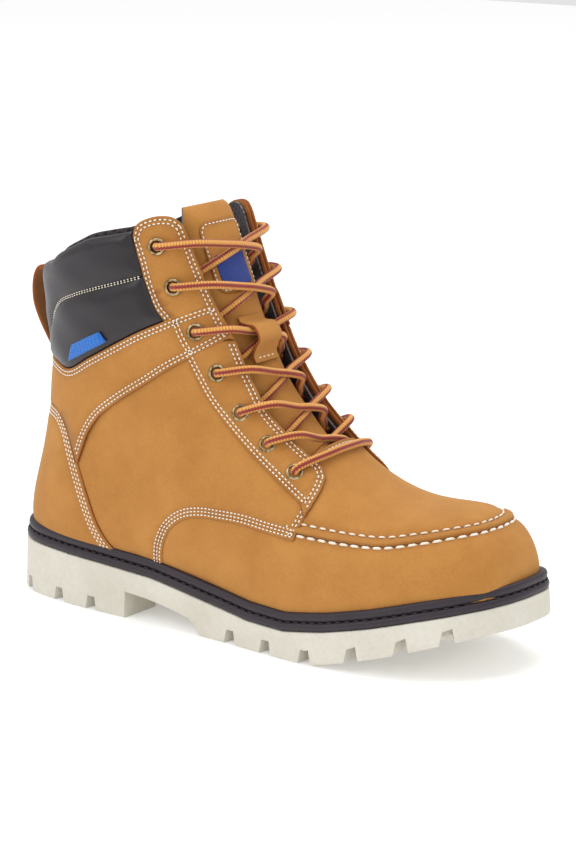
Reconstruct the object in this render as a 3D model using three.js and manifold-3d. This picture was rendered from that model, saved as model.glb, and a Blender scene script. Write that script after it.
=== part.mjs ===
// Right steel toe work boot: moc-toe upper, padded collar, seven-row lacing and a lugged outsole.
// Millimetres, +Z up, +X to the toe, -Y the outer (lateral) side. The boot stands on Z = 0.
import * as THREE from 'three';
import { mergeVertices } from 'three/addons/utils/BufferGeometryUtils.js';
import Module from 'manifold-3d';

const wasm = await Module();
wasm.setup();

// ---------------------------------------------------------------- driving dimensions (mm)
const bootLength = 312;        // outsole, heel to toe
const bootWidth = 108;         // outsole, across the ball
const shaftHeight = 216;       // ground to the top of the tongue
const gap = 0.3;               // clearance between touching pieces
const leather = 1.9;           // vamp and quarters
const overlay = 1.6;           // eyestays, ankle bands and heel overlay
const lining = 1.3;            // textile lining
const stiffener = 1.9;         // steel toe cap and heel counter
const collarPuff = 4.2;        // how far the collar pads stand out of the leather's face
const weltThickness = 4.5;     // midsole and welt plate
const randHeight = 4.7;        // upper band round the foot
const weltInset = 1.2;         // welt edge inside the outsole edge
const randInset = 1.6;         // rand edge inside the outsole edge
const insoleBoard = 2.2;
const footbedThickness = 4.5;
const footbedClearance = 1.6;  // footbed edge to the lining
const notchDepth = 13;         // side notches between the lugs, inwards
const notchHeight = 7.2;
const notchWidth = 8;          // at the ground
const notchTopWidth = 5;
const treadDepth = 4;          // grooves under the sole
const treadWidth = 6;
const breastRadius = 24;       // hollow in the front face of the heel
const breastHollow = 10;       // how far it goes back
const shankLength = 92;
const shankWidth = 12;
const shankThickness = 1.5;
const eyeletFlange = 9.6;      // outside diameter
const eyeletBore = 5.2;        // inside diameter
const eyeletWall = 0.5;
const eyeletRim = 0.9;         // height of the flange over the leather
const laceDiameter = 4;
const tongueWidth = 48;
const tongueLift = 9.4;        // face of the tongue inside the face of the upper
const tongueThickness = 3.2;
const tonguePad = 5.4;         // padded upper part of the tongue
const tongueTilt = 12;         // degrees that the upper part folds back
const patchThickness = 0.9;
const labelThickness = 0.7;
const gussetThickness = 0.9;
const keeperWidth = 22;
const keeperThickness = 1.4;
const loopWidth = 20;
const loopThickness = 1.8;
const toeCapBack = 243;        // rear edge of the steel cap, on the pattern
const capStripWidth = 6;

// The outlines are drawn on a pattern of this size and graded to the boot's size.
const PATTERN = { length: 312, width: 108, height: 216 };
const gradeX = bootLength / PATTERN.length;
const gradeY = bootWidth / PATTERN.width;
const gradeZ = shaftHeight / PATTERN.height;
const grade = (points) => points.map(([x, z]) => [x * gradeX, z * gradeZ]);

// ---------------------------------------------------------------- small numeric helpers
const clamp = (v, lo, hi) => Math.min(hi, Math.max(lo, v));
const ramp = (v, from, to) => {
  const t = clamp((v - from) / (to - from), 0, 1);
  return t * t * (3 - 2 * t);
};
function along(table, x) {     // piecewise linear reading of [x, value] rows
  if (x <= table[0][0]) return table[0][1];
  for (let i = 1; i < table.length; i++) {
    const [x1, v1] = table[i];
    if (x <= x1) {
      const [x0, v0] = table[i - 1];
      return v0 + ((v1 - v0) * (x - x0)) / (x1 - x0);
    }
  }
  return table[table.length - 1][1];
}
function smooth(points, perSpan = 2, closed = false) {
  const curve = new THREE.CatmullRomCurve3(points.map(([a, b]) => new THREE.Vector3(a, b, 0)), closed,
    'centripetal');
  const spans = closed ? points.length : points.length - 1;
  const out = curve.getPoints(spans * perSpan).map((p) => [p.x, p.y]);
  if (closed) out.pop();
  return out;
}

// ---------------------------------------------------------------- the foot form
// Each station is a flat section of the form, from its top or instep point to its bottom or back
// point: top x, z, bottom x, z, lateral and medial half width, where the section is widest (share of
// its length), and the roundness of its upper and lower part. Sections fan from the toe to the collar.
const stations = [
  [306.3, 42, 306.5, 34, 1, 1, 0.45, 2.2, 2.2],
  [305.8, 50, 306, 26, 12, 12, 0.45, 2.2, 2.2],
  [304, 58.5, 304.5, 20, 20.5, 20, 0.48, 2.3, 2.3],
  [299.5, 66.5, 301, 14, 27, 26, 0.5, 2.5, 2.4],
  [292.5, 72.3, 293, 8, 33.5, 32, 0.5, 2.7, 2.4],
  [284, 75.6, 281, 0, 39.5, 38, 0.5, 2.8, 2.5],
  [273, 76.8, 265, -6, 44.7, 43, 0.5, 2.8, 2.5],
  [260, 76.6, 246, -10, 48.7, 46.5, 0.5, 2.6, 2.5],
  [247, 76.3, 222, -14, 51, 48, 0.5, 2.5, 2.5],
  [235, 78, 193, -14, 51.5, 47.5, 0.49, 2.4, 2.4],
  [223.5, 82, 160, -8, 50, 45, 0.47, 2.3, 2],
  [212, 88.5, 122, 0, 47.5, 41, 0.44, 2.3, 1.9],
  [202, 97, 80, 5, 45, 39, 0.43, 2.3, 1.9],
  [192.5, 107, 38, 8, 44, 38.5, 0.44, 2.3, 2.2],
  [183, 117.5, 12, 16, 42.5, 39, 0.46, 2.3, 2.35],
  [174, 126.5, 5.5, 36, 41, 39.5, 0.46, 2.3, 2.45],
  [166, 136.5, 11, 60, 40.5, 39.5, 0.46, 2.3, 2.35],
  [159, 149, 17, 85, 40.5, 40, 0.47, 2.3, 2.1],
  [152, 163, 21.5, 108, 40.5, 40.5, 0.48, 2.3, 2.1],
  [145.5, 178, 24, 130, 41, 41, 0.5, 2.3, 2.1],
  [139, 193, 23.5, 150, 41.5, 41.5, 0.5, 2.3, 2.1],
  [133, 208, 22.5, 169, 42, 42, 0.5, 2.3, 2.1],
  [128, 222, 21, 187, 42.5, 42.5, 0.5, 2.3, 2.1],
  [124, 236, 20, 203, 43, 43, 0.5, 2.3, 2.1],
].map(([tx, tz, bx, bz, wl, wm, ...shape]) => [tx * gradeX, tz * gradeZ, bx * gradeX, bz * gradeZ,
  wl * gradeY, wm * gradeY, ...shape]);
const lastStation = stations.length - 1;

function section(u) {          // uniform cubic B-spline through the stations
  const i = Math.min(Math.floor(u), lastStation - 1);
  const t = u - i;
  const row = (k) => stations[clamp(i + k, 0, lastStation)];
  const weights = [(1 - t) ** 3, 3 * t ** 3 - 6 * t * t + 4, -3 * t ** 3 + 3 * t * t + 3 * t + 1, t ** 3];
  return stations[0].map((_, c) => weights.reduce((sum, w, k) => sum + w * row(k - 1)[c], 0) / 6);
}
function formPoint(u, turn) {  // turn runs 0 to 2 pi round the section: instep, lateral, back, medial
  const [tx, tz, bx, bz, wl, wm, widest, n, m] = section(u);
  const lateral = turn <= Math.PI;
  const q = (1 - Math.cos(turn)) / 2;
  const rise = q < widest ? (1 - (1 - q / widest) ** n) ** (1 / n)
    : (1 - ((q - widest) / (1 - widest)) ** m) ** (1 / m);
  const y = (lateral ? -wl : wm) * (Number.isFinite(rise) ? rise : 0);
  return new THREE.Vector3(tx + q * (bx - tx), y, tz + q * (bz - tz));
}
function formNormal(u, turn) {
  const d = 0.02;
  const wrap = (a) => (a + 2 * Math.PI) % (2 * Math.PI);
  const alongU = formPoint(Math.min(u + d, lastStation), turn).sub(formPoint(Math.max(u - d, 0), turn));
  const around = formPoint(u, wrap(turn + d)).sub(formPoint(u, wrap(turn - d)));
  return alongU.cross(around).normalize();
}
function locate(x, z, side) {  // the section and turn whose point lies at x, z; side -1 lateral, 1 medial
  const miss = (u) => {
    const [tx, tz, bx, bz] = section(u);
    return (x - tx) * (bz - tz) - (z - tz) * (bx - tx);
  };
  let lo = 1;
  let hi = lastStation - 0.01;
  for (let k = 0; k < 50; k++) {
    const mid = (lo + hi) / 2;
    if (Math.sign(miss(mid)) === Math.sign(miss(lo))) lo = mid;
    else hi = mid;
  }
  const [tx, tz, bx, bz] = section(lo);
  const q = clamp(((x - tx) * (bx - tx) + (z - tz) * (bz - tz)) / ((bx - tx) ** 2 + (bz - tz) ** 2), 0, 1);
  const turn = Math.acos(1 - 2 * q);
  return [lo, side < 0 ? turn : 2 * Math.PI - turn];
}
function onForm(x, z, side, offset) {
  const [u, turn] = locate(x, z, side);
  return formPoint(u, turn).addScaledVector(formNormal(u, turn), offset);
}

// ---------------------------------------------------------------- solids and booleans
function solid(geometry) {     // closed three.js geometry to a manifold
  const g = geometry.clone();
  g.deleteAttribute('normal');
  g.deleteAttribute('uv');
  const m = mergeVertices(g, 1e-4);
  const indexed = new wasm.Mesh({
    numProp: 3,
    vertProperties: Float32Array.from(m.attributes.position.array),
    triVerts: Uint32Array.from(m.index.array),
  });
  return new wasm.Manifold(indexed);
}
function geometryOf(manifold) {
  const mesh = manifold.getMesh();
  const g = new THREE.BufferGeometry();
  g.setAttribute('position', new THREE.BufferAttribute(new Float32Array(mesh.vertProperties), 3));
  g.setIndex(new THREE.BufferAttribute(new Uint32Array(mesh.triVerts), 1));
  g.computeVertexNormals();
  return g;
}
function largest(manifold) {   // the biggest piece: booleans can leave slivers beside it
  return manifold.decompose().sort((a, b) => b.volume() - a.volume())[0];
}
const formRings = [0.9, 1.9, 2.9, 3.8, 5.2, 7, 9, 10.8, 12.2, 13.4, 14.4, 15.6, 17.2, 19, 21, 22.9];
function form(offset, sides = 18) {  // the whole form as one closed solid; offset may vary with place
  const rings = offset(300, 40, 0) > -1 ? [0.02, 0.45, ...formRings] : formRings;
  const positions = [];
  const place = (u, turn) => {
    const p = formPoint(u, turn);
    p.addScaledVector(formNormal(u, turn), offset(p.x / gradeX, p.z / gradeZ, p.y));
    positions.push(p.x, p.y, p.z);
  };
  for (const u of rings) {
    for (let k = 0; k < sides; k++) place(u, (2 * Math.PI * k) / sides);
  }
  const index = [];
  for (let r = 0; r < rings.length - 1; r++) {
    for (let k = 0; k < sides; k++) {
      const a = r * sides + k;
      const b = r * sides + ((k + 1) % sides);
      index.push(a, b + sides, b, a, a + sides, b + sides);
    }
  }
  for (const r of [0, rings.length - 1]) {   // close the toe tip and the top with fans
    const centre = [0, 0, 0];
    for (let k = 0; k < sides; k++) {
      for (let c = 0; c < 3; c++) centre[c] += positions[3 * (r * sides + k) + c] / sides;
    }
    const middle = positions.length / 3;
    positions.push(...centre);
    for (let k = 0; k < sides; k++) {
      const a = r * sides + k;
      const b = r * sides + ((k + 1) % sides);
      index.push(...(r === 0 ? [middle, a, b] : [middle, b, a]));
    }
  }
  const g = new THREE.BufferGeometry();
  g.setAttribute('position', new THREE.Float32BufferAttribute(positions, 3));
  g.setIndex(index);
  return solid(g);
}
const constant = (v) => () => v;
function shell(outer, inner) {
  return form(outer).subtract(form(inner));
}
const reach = 90;              // half span of the prisms across the boot
function sidePrism(points, y0 = -reach, y1 = reach) {   // outline in X, Z swept along Y
  const shape = new THREE.Shape(points.map(([x, z]) => new THREE.Vector2(x, z)));
  const g = new THREE.ExtrudeGeometry(shape, { depth: y1 - y0, bevelEnabled: false, steps: 1 });
  g.rotateX(Math.PI / 2);
  g.translate(0, y1, 0);
  return solid(g);
}
function planPrism(points, z0 = -20, z1 = 120) {         // outline in X, Y swept along Z
  const shape = new THREE.Shape(points.map(([x, y]) => new THREE.Vector2(x, y)));
  const g = new THREE.ExtrudeGeometry(shape, { depth: z1 - z0, bevelEnabled: false, steps: 1 });
  g.translate(0, 0, z0);
  return solid(g);
}
function box(x0, x1, y0, y1, z0, z1) {
  const g = new THREE.BoxGeometry(x1 - x0, y1 - y0, z1 - z0);
  g.translate((x0 + x1) / 2, (y0 + y1) / 2, (z0 + z1) / 2);
  return solid(g);
}
function inset(points, distance) {   // moves a closed outline inwards along its own normals
  const area = THREE.ShapeUtils.area(points.map(([x, y]) => new THREE.Vector2(x, y)));
  const turn = area > 0 ? 1 : -1;
  return points.map((p, i) => {
    const a = points[(i + points.length - 1) % points.length];
    const b = points[(i + 1) % points.length];
    const dx = b[0] - a[0];
    const dy = b[1] - a[1];
    const length = Math.hypot(dx, dy) || 1;
    return [p[0] - (turn * distance * dy) / length, p[1] + (turn * distance * dx) / length];
  });
}
const sideBoxes = {
  lateral: () => box(-40, bootLength + 40, -reach, -gap / 2, -40, 300),
  medial: () => box(-40, bootLength + 40, gap / 2, reach, -40, 300),
};

// ---------------------------------------------------------------- sole lines
const soleTop = smooth(grade([[-20, 28], [0, 28], [40, 27], [73, 26], [108, 24], [145, 18.5], [175, 14.4],
  [200, 14], [225, 18], [250, 23.5], [275, 30], [295, 34.5], [312, 38], [330, 41]]), 2);
const soleOutline = smooth([
  [0, 0], [2.5, -12], [8, -22], [20, -31.5], [40, -37.5], [62, -41], [92, -43], [120, -44.5],
  [160, -48.5], [190, -53], [215, -55.5], [240, -55], [262, -51.5], [281, -45], [296, -34.5],
  [306, -22], [311, -8.5], [312, 5], [310.5, 19], [302, 32], [283, 42], [264, 49.5], [240, 52.5],
  [216, 52], [192, 48.5], [160, 42.5], [130, 39], [100, 38], [70, 38], [42, 36.5], [22, 31.5], [8, 21],
  [2.5, 11],
].map(([x, y]) => [x * gradeX, y * gradeY]), 1, true);
const ground = grade([[-20, 0], [216, 0], [229, 2.6], [242, 5.8], [258, 10.2], [274, 15], [290, 19.8],
  [303, 23.4], [330, 28]]);
const breastX = 92 * gradeX;
const archEnd = 140 * gradeX;
const archLine = grade([[91.5, 14], [108, 12.6], [119, 11], [129, 9.2], [139, 7]]);
const lift = (line, dz) => line.map(([x, z]) => [x, z + dz]);
function band(from, to) {      // the slab between two heights over the outsole's top line
  return sidePrism([...lift(soleTop, from), ...lift(soleTop, to).reverse()]);
}
const randTop = weltThickness + randHeight + 2 * gap;
const upperFloor = weltThickness + 2 * gap;  // where the upper's edges stop, over the outsole's top
const aboveWelt = sidePrism([...lift(soleTop, upperFloor + gap), [bootLength + 30, 320], [-20, 320]]);

// ---------------------------------------------------------------- offsets of the layers
const heelZone = (x, z) => ramp(x, 128, 104) * ramp(z, 134, 112);
const fanLean = 0.46;          // how far the sections lean back there, for each mm of height
const toeZone = (x, z) => ramp(x + fanLean * (78 - z), toeCapBack - 27, toeCapBack - 10);
const liningOuter = (x, z) => -(leather + gap) - (stiffener + gap) * Math.max(heelZone(x, z), toeZone(x, z));
const liningInner = (x, z) => liningOuter(x, z) - lining;
const tongueFace = constant(-tongueLift);
const overlayInner = constant(gap);
const overlayOuter = constant(gap + overlay);
const eyeletRows = grade([[111, 196], [120, 176], [132, 154], [144, 134], [158, 115], [175, 101],
  [192, 89]]);
const eyeletLine = [...eyeletRows].reverse().map(([x, z]) => [z / gradeZ, x / gradeX]);
const behindEyelets = (x, z) => 0.85 * (along(eyeletLine, z) - x);   // towards the heel
const gussetOuter = (x, z) => -(tongueLift + gap)
  + (tongueLift - leather - lining - 2 * gap) * ramp(behindEyelets(x, z), 7, 12);
const gussetInner = (x, z) => gussetOuter(x, z) - gussetThickness;

// ---------------------------------------------------------------- pattern lines, side view
const throatEdge = grade([[121, 207], [130, 186], [135, 175], [143, 159], [149, 150], [155, 138],
  [161, 128], [169, 117], [179, 108], [193, 97], [201, 91.5], [206, 86.5]]);
const eyestayBack = grade([[98, 199], [102, 188], [106, 175], [111, 164], [116, 158.5]]);
const eyestayLow = grade([[122, 150], [129, 139], [134.5, 130], [142, 119], [154, 107], [170, 94.5],
  [187, 83.5], [201.5, 75]]);
const tabTop = grade([[98, 199], [100, 206], [105, 209.5], [111, 211], [116.5, 210.5], [121, 207]]);
const collarLow = grade([[28, 129], [40, 127.5], [52, 126], [69, 134.5], [85, 143], [102, 152],
  [116, 158.5]]);
const collarSeam = grade([[31, 129], [33, 140], [39, 152], [48, 161], [59, 166], [75, 171.5], [90, 176],
  [104.5, 180.5]]);
const collarRim = grade([[5, 176], [22, 177], [41, 181], [50, 187], [63, 193], [72, 197], [85, 200],
  [98, 203]]);
const bandLow = grade([[146, 151], [139, 146], [130, 140.5], [119, 134], [108, 126.5], [89, 114.5],
  [75, 104], [67, 94], [62, 83], [59.5, 77]]);
const heelLine = grade([[18, 103], [30, 103], [41, 102], [50, 95], [57, 82], [62, 71], [68, 57.5],
  [73, 47], [79, 38.5], [88, 30]]);
const quarterFront = grade([[114, 20], [116, 34], [119, 44], [124.5, 53], [133, 59], [143, 61.5],
  [156, 62], [169, 62], [185, 60.5], [202, 59]]);
const mocSeam = grade([[203, 64.5], [230, 62], [251, 63], [270, 67], [286, 70.5], [297, 71.7],
  [330, 72.5]]);
const apronBack = grade([[200, 125], [199.5, 104], [198.5, 92], [199.5, 79], [203, 64.5]]);

const outlines = {
  quarter: [...grade([[-20, 10], [-20, 127], [22, 129]]), ...collarLow, ...[...eyestayBack].reverse(),
    ...tabTop.slice(1, -1), ...throatEdge.slice(0, 10), ...apronBack.slice(2),
    ...[...quarterFront].reverse()],
  mudguard: [...quarterFront, ...mocSeam, ...grade([[330, 0], [114, 0]])],
  apron: [...[...apronBack].reverse(), ...grade([[330, 125]]), ...[...mocSeam].reverse().slice(0, -1)],
  heel: [...grade([[-20, 103]]), ...heelLine, ...grade([[88, 10], [-20, 10]])],
  band: [...collarLow, ...grade([[122, 161.5], [137.5, 168]]), ...throatEdge.slice(3, 5), ...bandLow,
    ...heelLine.slice(0, 5).reverse(), ...grade([[-20, 103], [-20, 129]])],
  eyestayTop: [...tabTop, ...throatEdge.slice(1, 3), ...grade([[137.5, 168], [122, 161.5], [116, 158.5]]),
    ...[...eyestayBack].reverse().slice(1, -1)],
  eyestayLow: [...throatEdge.slice(5), ...grade([[208, 81], [206.5, 77]]),
    ...[...eyestayLow].reverse().slice(0, -1), ...grade([[130, 140.5], [139, 146], [146, 151]])],
  collarLower: [...collarLow.slice(1), ...[...eyestayBack].reverse().slice(1, 3),
    ...[...collarSeam].reverse()],
  collarUpper: [...collarRim, ...eyestayBack.slice(0, 2), ...[...collarSeam].reverse(),
    ...grade([[22, 129], [-20, 129]])],
};

// ---------------------------------------------------------------- materials
const finish = (color, roughness, metalness = 0) => new THREE.MeshStandardMaterial({
  color, roughness, metalness });
const nubuck = finish(0xc8924a, 0.9);
const nubuckDark = finish(0xa06a34, 0.9);
const collarHide = finish(0x4a4048, 0.45);
const textile = finish(0x2b272b, 0.95);
const darkRubber = finish(0x4a4048, 0.6);
const creamRubber = finish(0xdedad0, 0.7);
const steel = finish(0x9aa0a4, 0.35, 1);
const brass = finish(0x8c7a52, 0.4, 1);
const laceYarn = finish(0xd9953a, 0.8);
const boardFibre = finish(0x8a6f50, 0.95);
const foam = finish(0x3a3a3e, 0.95);
const blueTape = finish(0x1f5fb0, 0.6);
const greyPlastic = finish(0x5a5a5a, 0.6);

const boot = new THREE.Group();
boot.name = 'work_boot';
const model = new THREE.Group();
boot.add(model);
function add(name, body, material) {
  const mesh = new THREE.Mesh(body.isBufferGeometry ? body : geometryOf(largest(body)), material);
  mesh.name = name;
  model.add(mesh);
  return mesh;
}

// ---------------------------------------------------------------- eyelets
const sides = { lateral: -1, medial: 1 };
const eyeletR = eyeletBore / 2 + eyeletWall;
const eyeletTop = gap + overlay;             // leather face under the flange
const eyeletEnd = -(leather + lining + 2 * gap);
function frameAt(x, z, side) {               // point on the form and the turn that lays +Z on its normal
  const [u, turn] = locate(x, z, side);
  const normal = formNormal(u, turn);
  return { point: formPoint(u, turn), normal,
    turn: new THREE.Quaternion().setFromUnitVectors(new THREE.Vector3(0, 0, 1), normal) };
}
function placed(geometry, frame) {
  const g = geometry.clone();
  g.applyQuaternion(frame.turn);
  g.translate(frame.point.x, frame.point.y, frame.point.z);
  return g;
}
const eyeletProfile = [
  [eyeletBore / 2, eyeletEnd], [eyeletR, eyeletEnd], [eyeletR, eyeletTop + gap + 0.15],
  [eyeletFlange / 2, eyeletTop + gap + 0.15], [eyeletFlange / 2 - 0.3, eyeletTop + gap + 0.6],
  [eyeletFlange / 2 - 1.1, eyeletTop + gap + eyeletRim], [eyeletBore / 2 + 0.4, eyeletTop + gap + 0.4],
  [eyeletBore / 2, eyeletTop - gap],
];
function lathe(profile, segments) {
  const points = profile.map(([r, z]) => new THREE.Vector2(r, z));
  points.push(points[0].clone());
  const g = new THREE.LatheGeometry(points, segments);
  g.rotateX(Math.PI / 2);
  return g;
}
const eyeletGeometry = lathe(eyeletProfile, 8);
const drillR = (eyeletR + gap) / Math.cos(Math.PI / 8);
const drill = new THREE.CylinderGeometry(drillR, drillR, 16, 8);
drill.rotateX(Math.PI / 2);
const drills = {};
for (const [sideName, side] of Object.entries(sides)) {
  drills[sideName] = eyeletRows.map(([x, z]) => solid(placed(drill, frameAt(x, z, side))));
}
const pierce = (body, sideName, rows) => rows.reduce((b, r) => b.subtract(drills[sideName][r]), body);
const allRows = [0, 1, 2, 3, 4, 5, 6];

// ---------------------------------------------------------------- upper, layer by layer
const skin = shell(constant(0), constant(-leather)).intersect(aboveWelt);
const overlays = shell(overlayOuter, overlayInner).intersect(aboveWelt);
const pads = shell(constant(collarPuff), constant(-leather + gap)).intersect(aboveWelt);
const cut = (layer, outline, clearance = gap / 2) => layer.intersect(sidePrism(inset(outline, clearance)));
const widthBox = (half) => box(0, bootLength, -half, half, 0, 300);

add('vamp_apron', cut(skin, outlines.apron), nubuck);
add('toe_mudguard', cut(skin, outlines.mudguard), nubuck);
for (const sideName of Object.keys(sides)) {
  const half = sideBoxes[sideName]();
  add(`quarter_${sideName}`, pierce(cut(skin, outlines.quarter).intersect(half), sideName, allRows), nubuck);
  add(`ankle_band_${sideName}`, pierce(cut(overlays, outlines.band).intersect(half), sideName, [2]), nubuck);
  add(`eyestay_top_${sideName}`,
    pierce(cut(overlays, outlines.eyestayTop).intersect(half), sideName, [0, 1]), nubuck);
  add(`eyestay_lower_${sideName}`,
    pierce(cut(overlays, outlines.eyestayLow).intersect(half), sideName, [3, 4, 5, 6]), nubuck);
  add(`collar_pad_lower_${sideName}`, cut(pads, outlines.collarLower).intersect(half), collarHide);
}
add('heel_overlay', cut(overlays, outlines.heel), nubuck);
add('collar_pad_upper', cut(pads, outlines.collarUpper), collarHide);

// lining, toe cap and heel counter
const liningSkin = shell(liningOuter, liningInner).intersect(aboveWelt);
const liningEdge = [...grade([[-20, 10], [-20, 174], [22, 175.5]]),
  ...collarRim.slice(2).map(([x, z]) => [x, z - 2]),
  ...tabTop.slice(1, -1).map(([x, z]) => [x, z - 2.5]),
  ...throatEdge.slice(0, 10).map(([x, z]) => [x - 1.2, z - 1]), ...apronBack.slice(2), ...grade([[203, 10]])];
for (const sideName of Object.keys(sides)) {
  const half = sideBoxes[sideName]();
  add(`lining_${sideName}`, pierce(cut(liningSkin, liningEdge).intersect(half), sideName, allRows), textile);
}
const vampLiningEdge = [...apronBack.slice(1), ...grade([[203, 10], [330, 10], [330, 104]])];
add('vamp_lining', cut(liningSkin, vampLiningEdge), textile);
const stiffSkin = shell(constant(-leather - gap), constant(-leather - gap - stiffener)).intersect(aboveWelt);
const capEdge = toeCapBack * gradeX;
add('steel_toe_cap', stiffSkin.intersect(box(capEdge, bootLength, -reach, reach, 0, 120)), steel);
add('toe_cap_strip',
  stiffSkin.intersect(box(capEdge - gap - capStripWidth, capEdge - gap, -reach, reach, 0, 120)), greyPlastic);
add('heel_counter', cut(stiffSkin, [...grade([[-20, 10], [-20, 93], [38, 93]]),
  ...grade([[52, 86], [62, 72], [70, 55], [78, 34], [82, 10]])]), greyPlastic);

// ---------------------------------------------------------------- sole
const underside = [[-20, 0], [breastX, 0], ...archLine, [archEnd, 0], ...ground.filter(([x]) => x > archEnd)];
let outsole = planPrism(soleOutline).intersect(sidePrism([...underside, ...[...soleTop].reverse()]));
const breastDrum = new THREE.CylinderGeometry(breastRadius, breastRadius, 60, 24).rotateX(Math.PI / 2);
breastDrum.translate(breastX + breastRadius - breastHollow, 3 * gradeY, 0);
const breastBlock = box(0, breastX + gap, -reach, reach, -5, archLine[0][1]);
outsole = outsole.subtract(solid(breastDrum).intersect(breastBlock));
const cutterOverrun = 4;       // how far a cutter stands out of what it cuts
function notch(x, side) {      // a tapered slot in the sole's edge, square to the edge
  const edges = soleOutline.map((p, i) => [p, soleOutline[(i + 1) % soleOutline.length]]);
  const [a, b] = edges.find(([p, q]) => (p[1] + q[1]) * side > 0 && (p[0] - x) * (q[0] - x) <= 0);
  const y = a[1] + ((x - a[0]) * (b[1] - a[1])) / (b[0] - a[0]);
  const shape = new THREE.Shape([
    new THREE.Vector2(-notchWidth / 2, -cutterOverrun), new THREE.Vector2(notchWidth / 2, -cutterOverrun),
    new THREE.Vector2(notchTopWidth / 2, notchHeight), new THREE.Vector2(-notchTopWidth / 2, notchHeight)]);
  const g = new THREE.ExtrudeGeometry(shape, { depth: notchDepth + cutterOverrun, bevelEnabled: false });
  g.rotateX(Math.PI / 2);
  g.translate(0, cutterOverrun, 0);
  g.rotateZ(Math.atan2(a[0] - b[0], b[1] - a[1]) + Math.PI / 2);
  g.translate(x, y, along(ground, x));
  return solid(g);
}
const notchPlaces = [17, 44, 68, 164, 189, 215, 242, 268, 289].map((x) => x * gradeX);
for (const x of notchPlaces) {
  for (const side of [-1, 1]) outsole = outsole.subtract(notch(x, side));
}
function chevron(x, halfWidth) {  // a shallow V groove across the middle of the tread
  const z = along(ground, x);
  const w = treadWidth / 2;
  const tip = treadWidth + 1;
  const outline = [[x - w, -halfWidth], [x + w, -halfWidth], [x + w + tip, 0], [x + w, halfWidth],
    [x - w, halfWidth], [x - w + tip, 0]];
  return planPrism(outline, z - 8, z + treadDepth);
}
for (const x of [176, 202, 228, 255]) outsole = outsole.subtract(chevron(x * gradeX, 30 * gradeY));
for (const x of [28, 54]) outsole = outsole.subtract(chevron(x * gradeX, 18 * gradeY));
const shankStart = 60 * gradeX;
const shankBand = (extra) => box(shankStart - extra, shankStart + shankLength + extra,
  -shankWidth / 2 - extra, shankWidth / 2 + extra, 0, 80);
outsole = outsole.subtract(band(-shankThickness - 2 * gap, 3).intersect(shankBand(gap)));
add('outsole', outsole, creamRubber);
add('steel_shank', band(-shankThickness - gap, -gap).intersect(shankBand(0)), steel);
add('welt', planPrism(inset(soleOutline, weltInset)).intersect(band(gap, weltThickness)), darkRubber);
add('rand', planPrism(inset(soleOutline, randInset)).intersect(band(weltThickness + gap, randTop - gap))
  .subtract(form((x) => gap + (overlay + gap) * ramp(x, 128, 108))), darkRubber);
const insideLining = (clearance) => form((x, z) => liningInner(x, z) - clearance);
add('insole_board',
  insideLining(gap).intersect(band(weltThickness + gap, upperFloor + insoleBoard)), boardFibre);
const footbedFloor = upperFloor + insoleBoard + gap;
const footbedBody = insideLining(footbedClearance)
  .intersect(band(footbedFloor, footbedFloor + footbedThickness));
add('footbed', footbedBody, foam);

// ---------------------------------------------------------------- tongue and gussets
const tongueSplit = 157 * gradeZ;     // where the tongue folds back
const tongueTop = 216 * gradeZ;
const tongueArea = widthBox(tongueWidth / 2);
const tonguePivotX = 137 * gradeX;    // the fold line, on the back of the tongue
const wingRoom = (x) => (tonguePivotX - x) * Math.tan(THREE.MathUtils.degToRad(tongueTilt)) + gap;
const lowerTongueArea = sidePrism([...grade([[198, 125], [198, 78], [160, 84], [104, 126]]),
  [90 * gradeX, tongueSplit - gap - wingRoom(90 * gradeX)], [tonguePivotX, tongueSplit - gap],
  [175 * gradeX, tongueSplit - gap]]);
add('tongue_lower', shell(tongueFace, constant(-tongueLift - tongueThickness)).intersect(tongueArea)
  .intersect(lowerTongueArea), nubuck);
const shaftFront = (y0, y1, z0, z1) => box(90 * gradeX, 180 * gradeX, y0, y1, z0, z1);
add('tongue_upper', shell(tongueFace, constant(-tongueLift - tonguePad)).intersect(tongueArea)
  .intersect(shaftFront(-reach, reach, tongueSplit, tongueTop)), nubuck);
const onTongue = (from, to) => shell(constant(-tongueLift + to), constant(-tongueLift + from));
const patchTop = gap + patchThickness;
const patchWidth = 36 * gradeY;
const patchLow = 172 * gradeZ;
const patchHigh = 205 * gradeZ;
const labelWidth = 24.5 * gradeY;     // it clears the two strands that cross beside it
const labelLow = 177 * gradeZ;
const labelHigh = 192 * gradeZ;
add('tongue_patch', onTongue(gap, patchTop)
  .intersect(shaftFront(-patchWidth / 2, patchWidth / 2, patchLow, patchHigh)), nubuck);
add('tongue_label', onTongue(patchTop + gap, patchTop + gap + labelThickness)
  .intersect(shaftFront(-labelWidth / 2 - 0.25, labelWidth / 2 - 0.25, labelLow, labelHigh)), blueTape);
const gussetLine = throatEdge.slice(2, 9);
const gussetArea = sidePrism([...gussetLine.map(([x, z]) => [x + 30, z]),
  ...gussetLine.reverse().map(([x, z]) => [x - 34, z - 12])])
  .intersect(box(0, bootLength, -reach, reach, 0, tongueSplit - gap));
for (const [sideName, side] of Object.entries(sides)) {
  const edge = side * (tongueWidth / 2 + gap);
  const beside = box(0, bootLength, Math.min(edge, side * reach), Math.max(edge, side * reach), 0, 300);
  add(`gusset_${sideName}`, shell(gussetOuter, gussetInner).intersect(beside).intersect(gussetArea), textile);
}

// ---------------------------------------------------------------- eyelets and lace
for (const [sideName, side] of Object.entries(sides)) {
  eyeletRows.forEach(([x, z], row) => {
    add(`eyelet_${sideName}_${row + 1}`, placed(eyeletGeometry, frameAt(x, z, side)), brass);
  });
}

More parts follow.
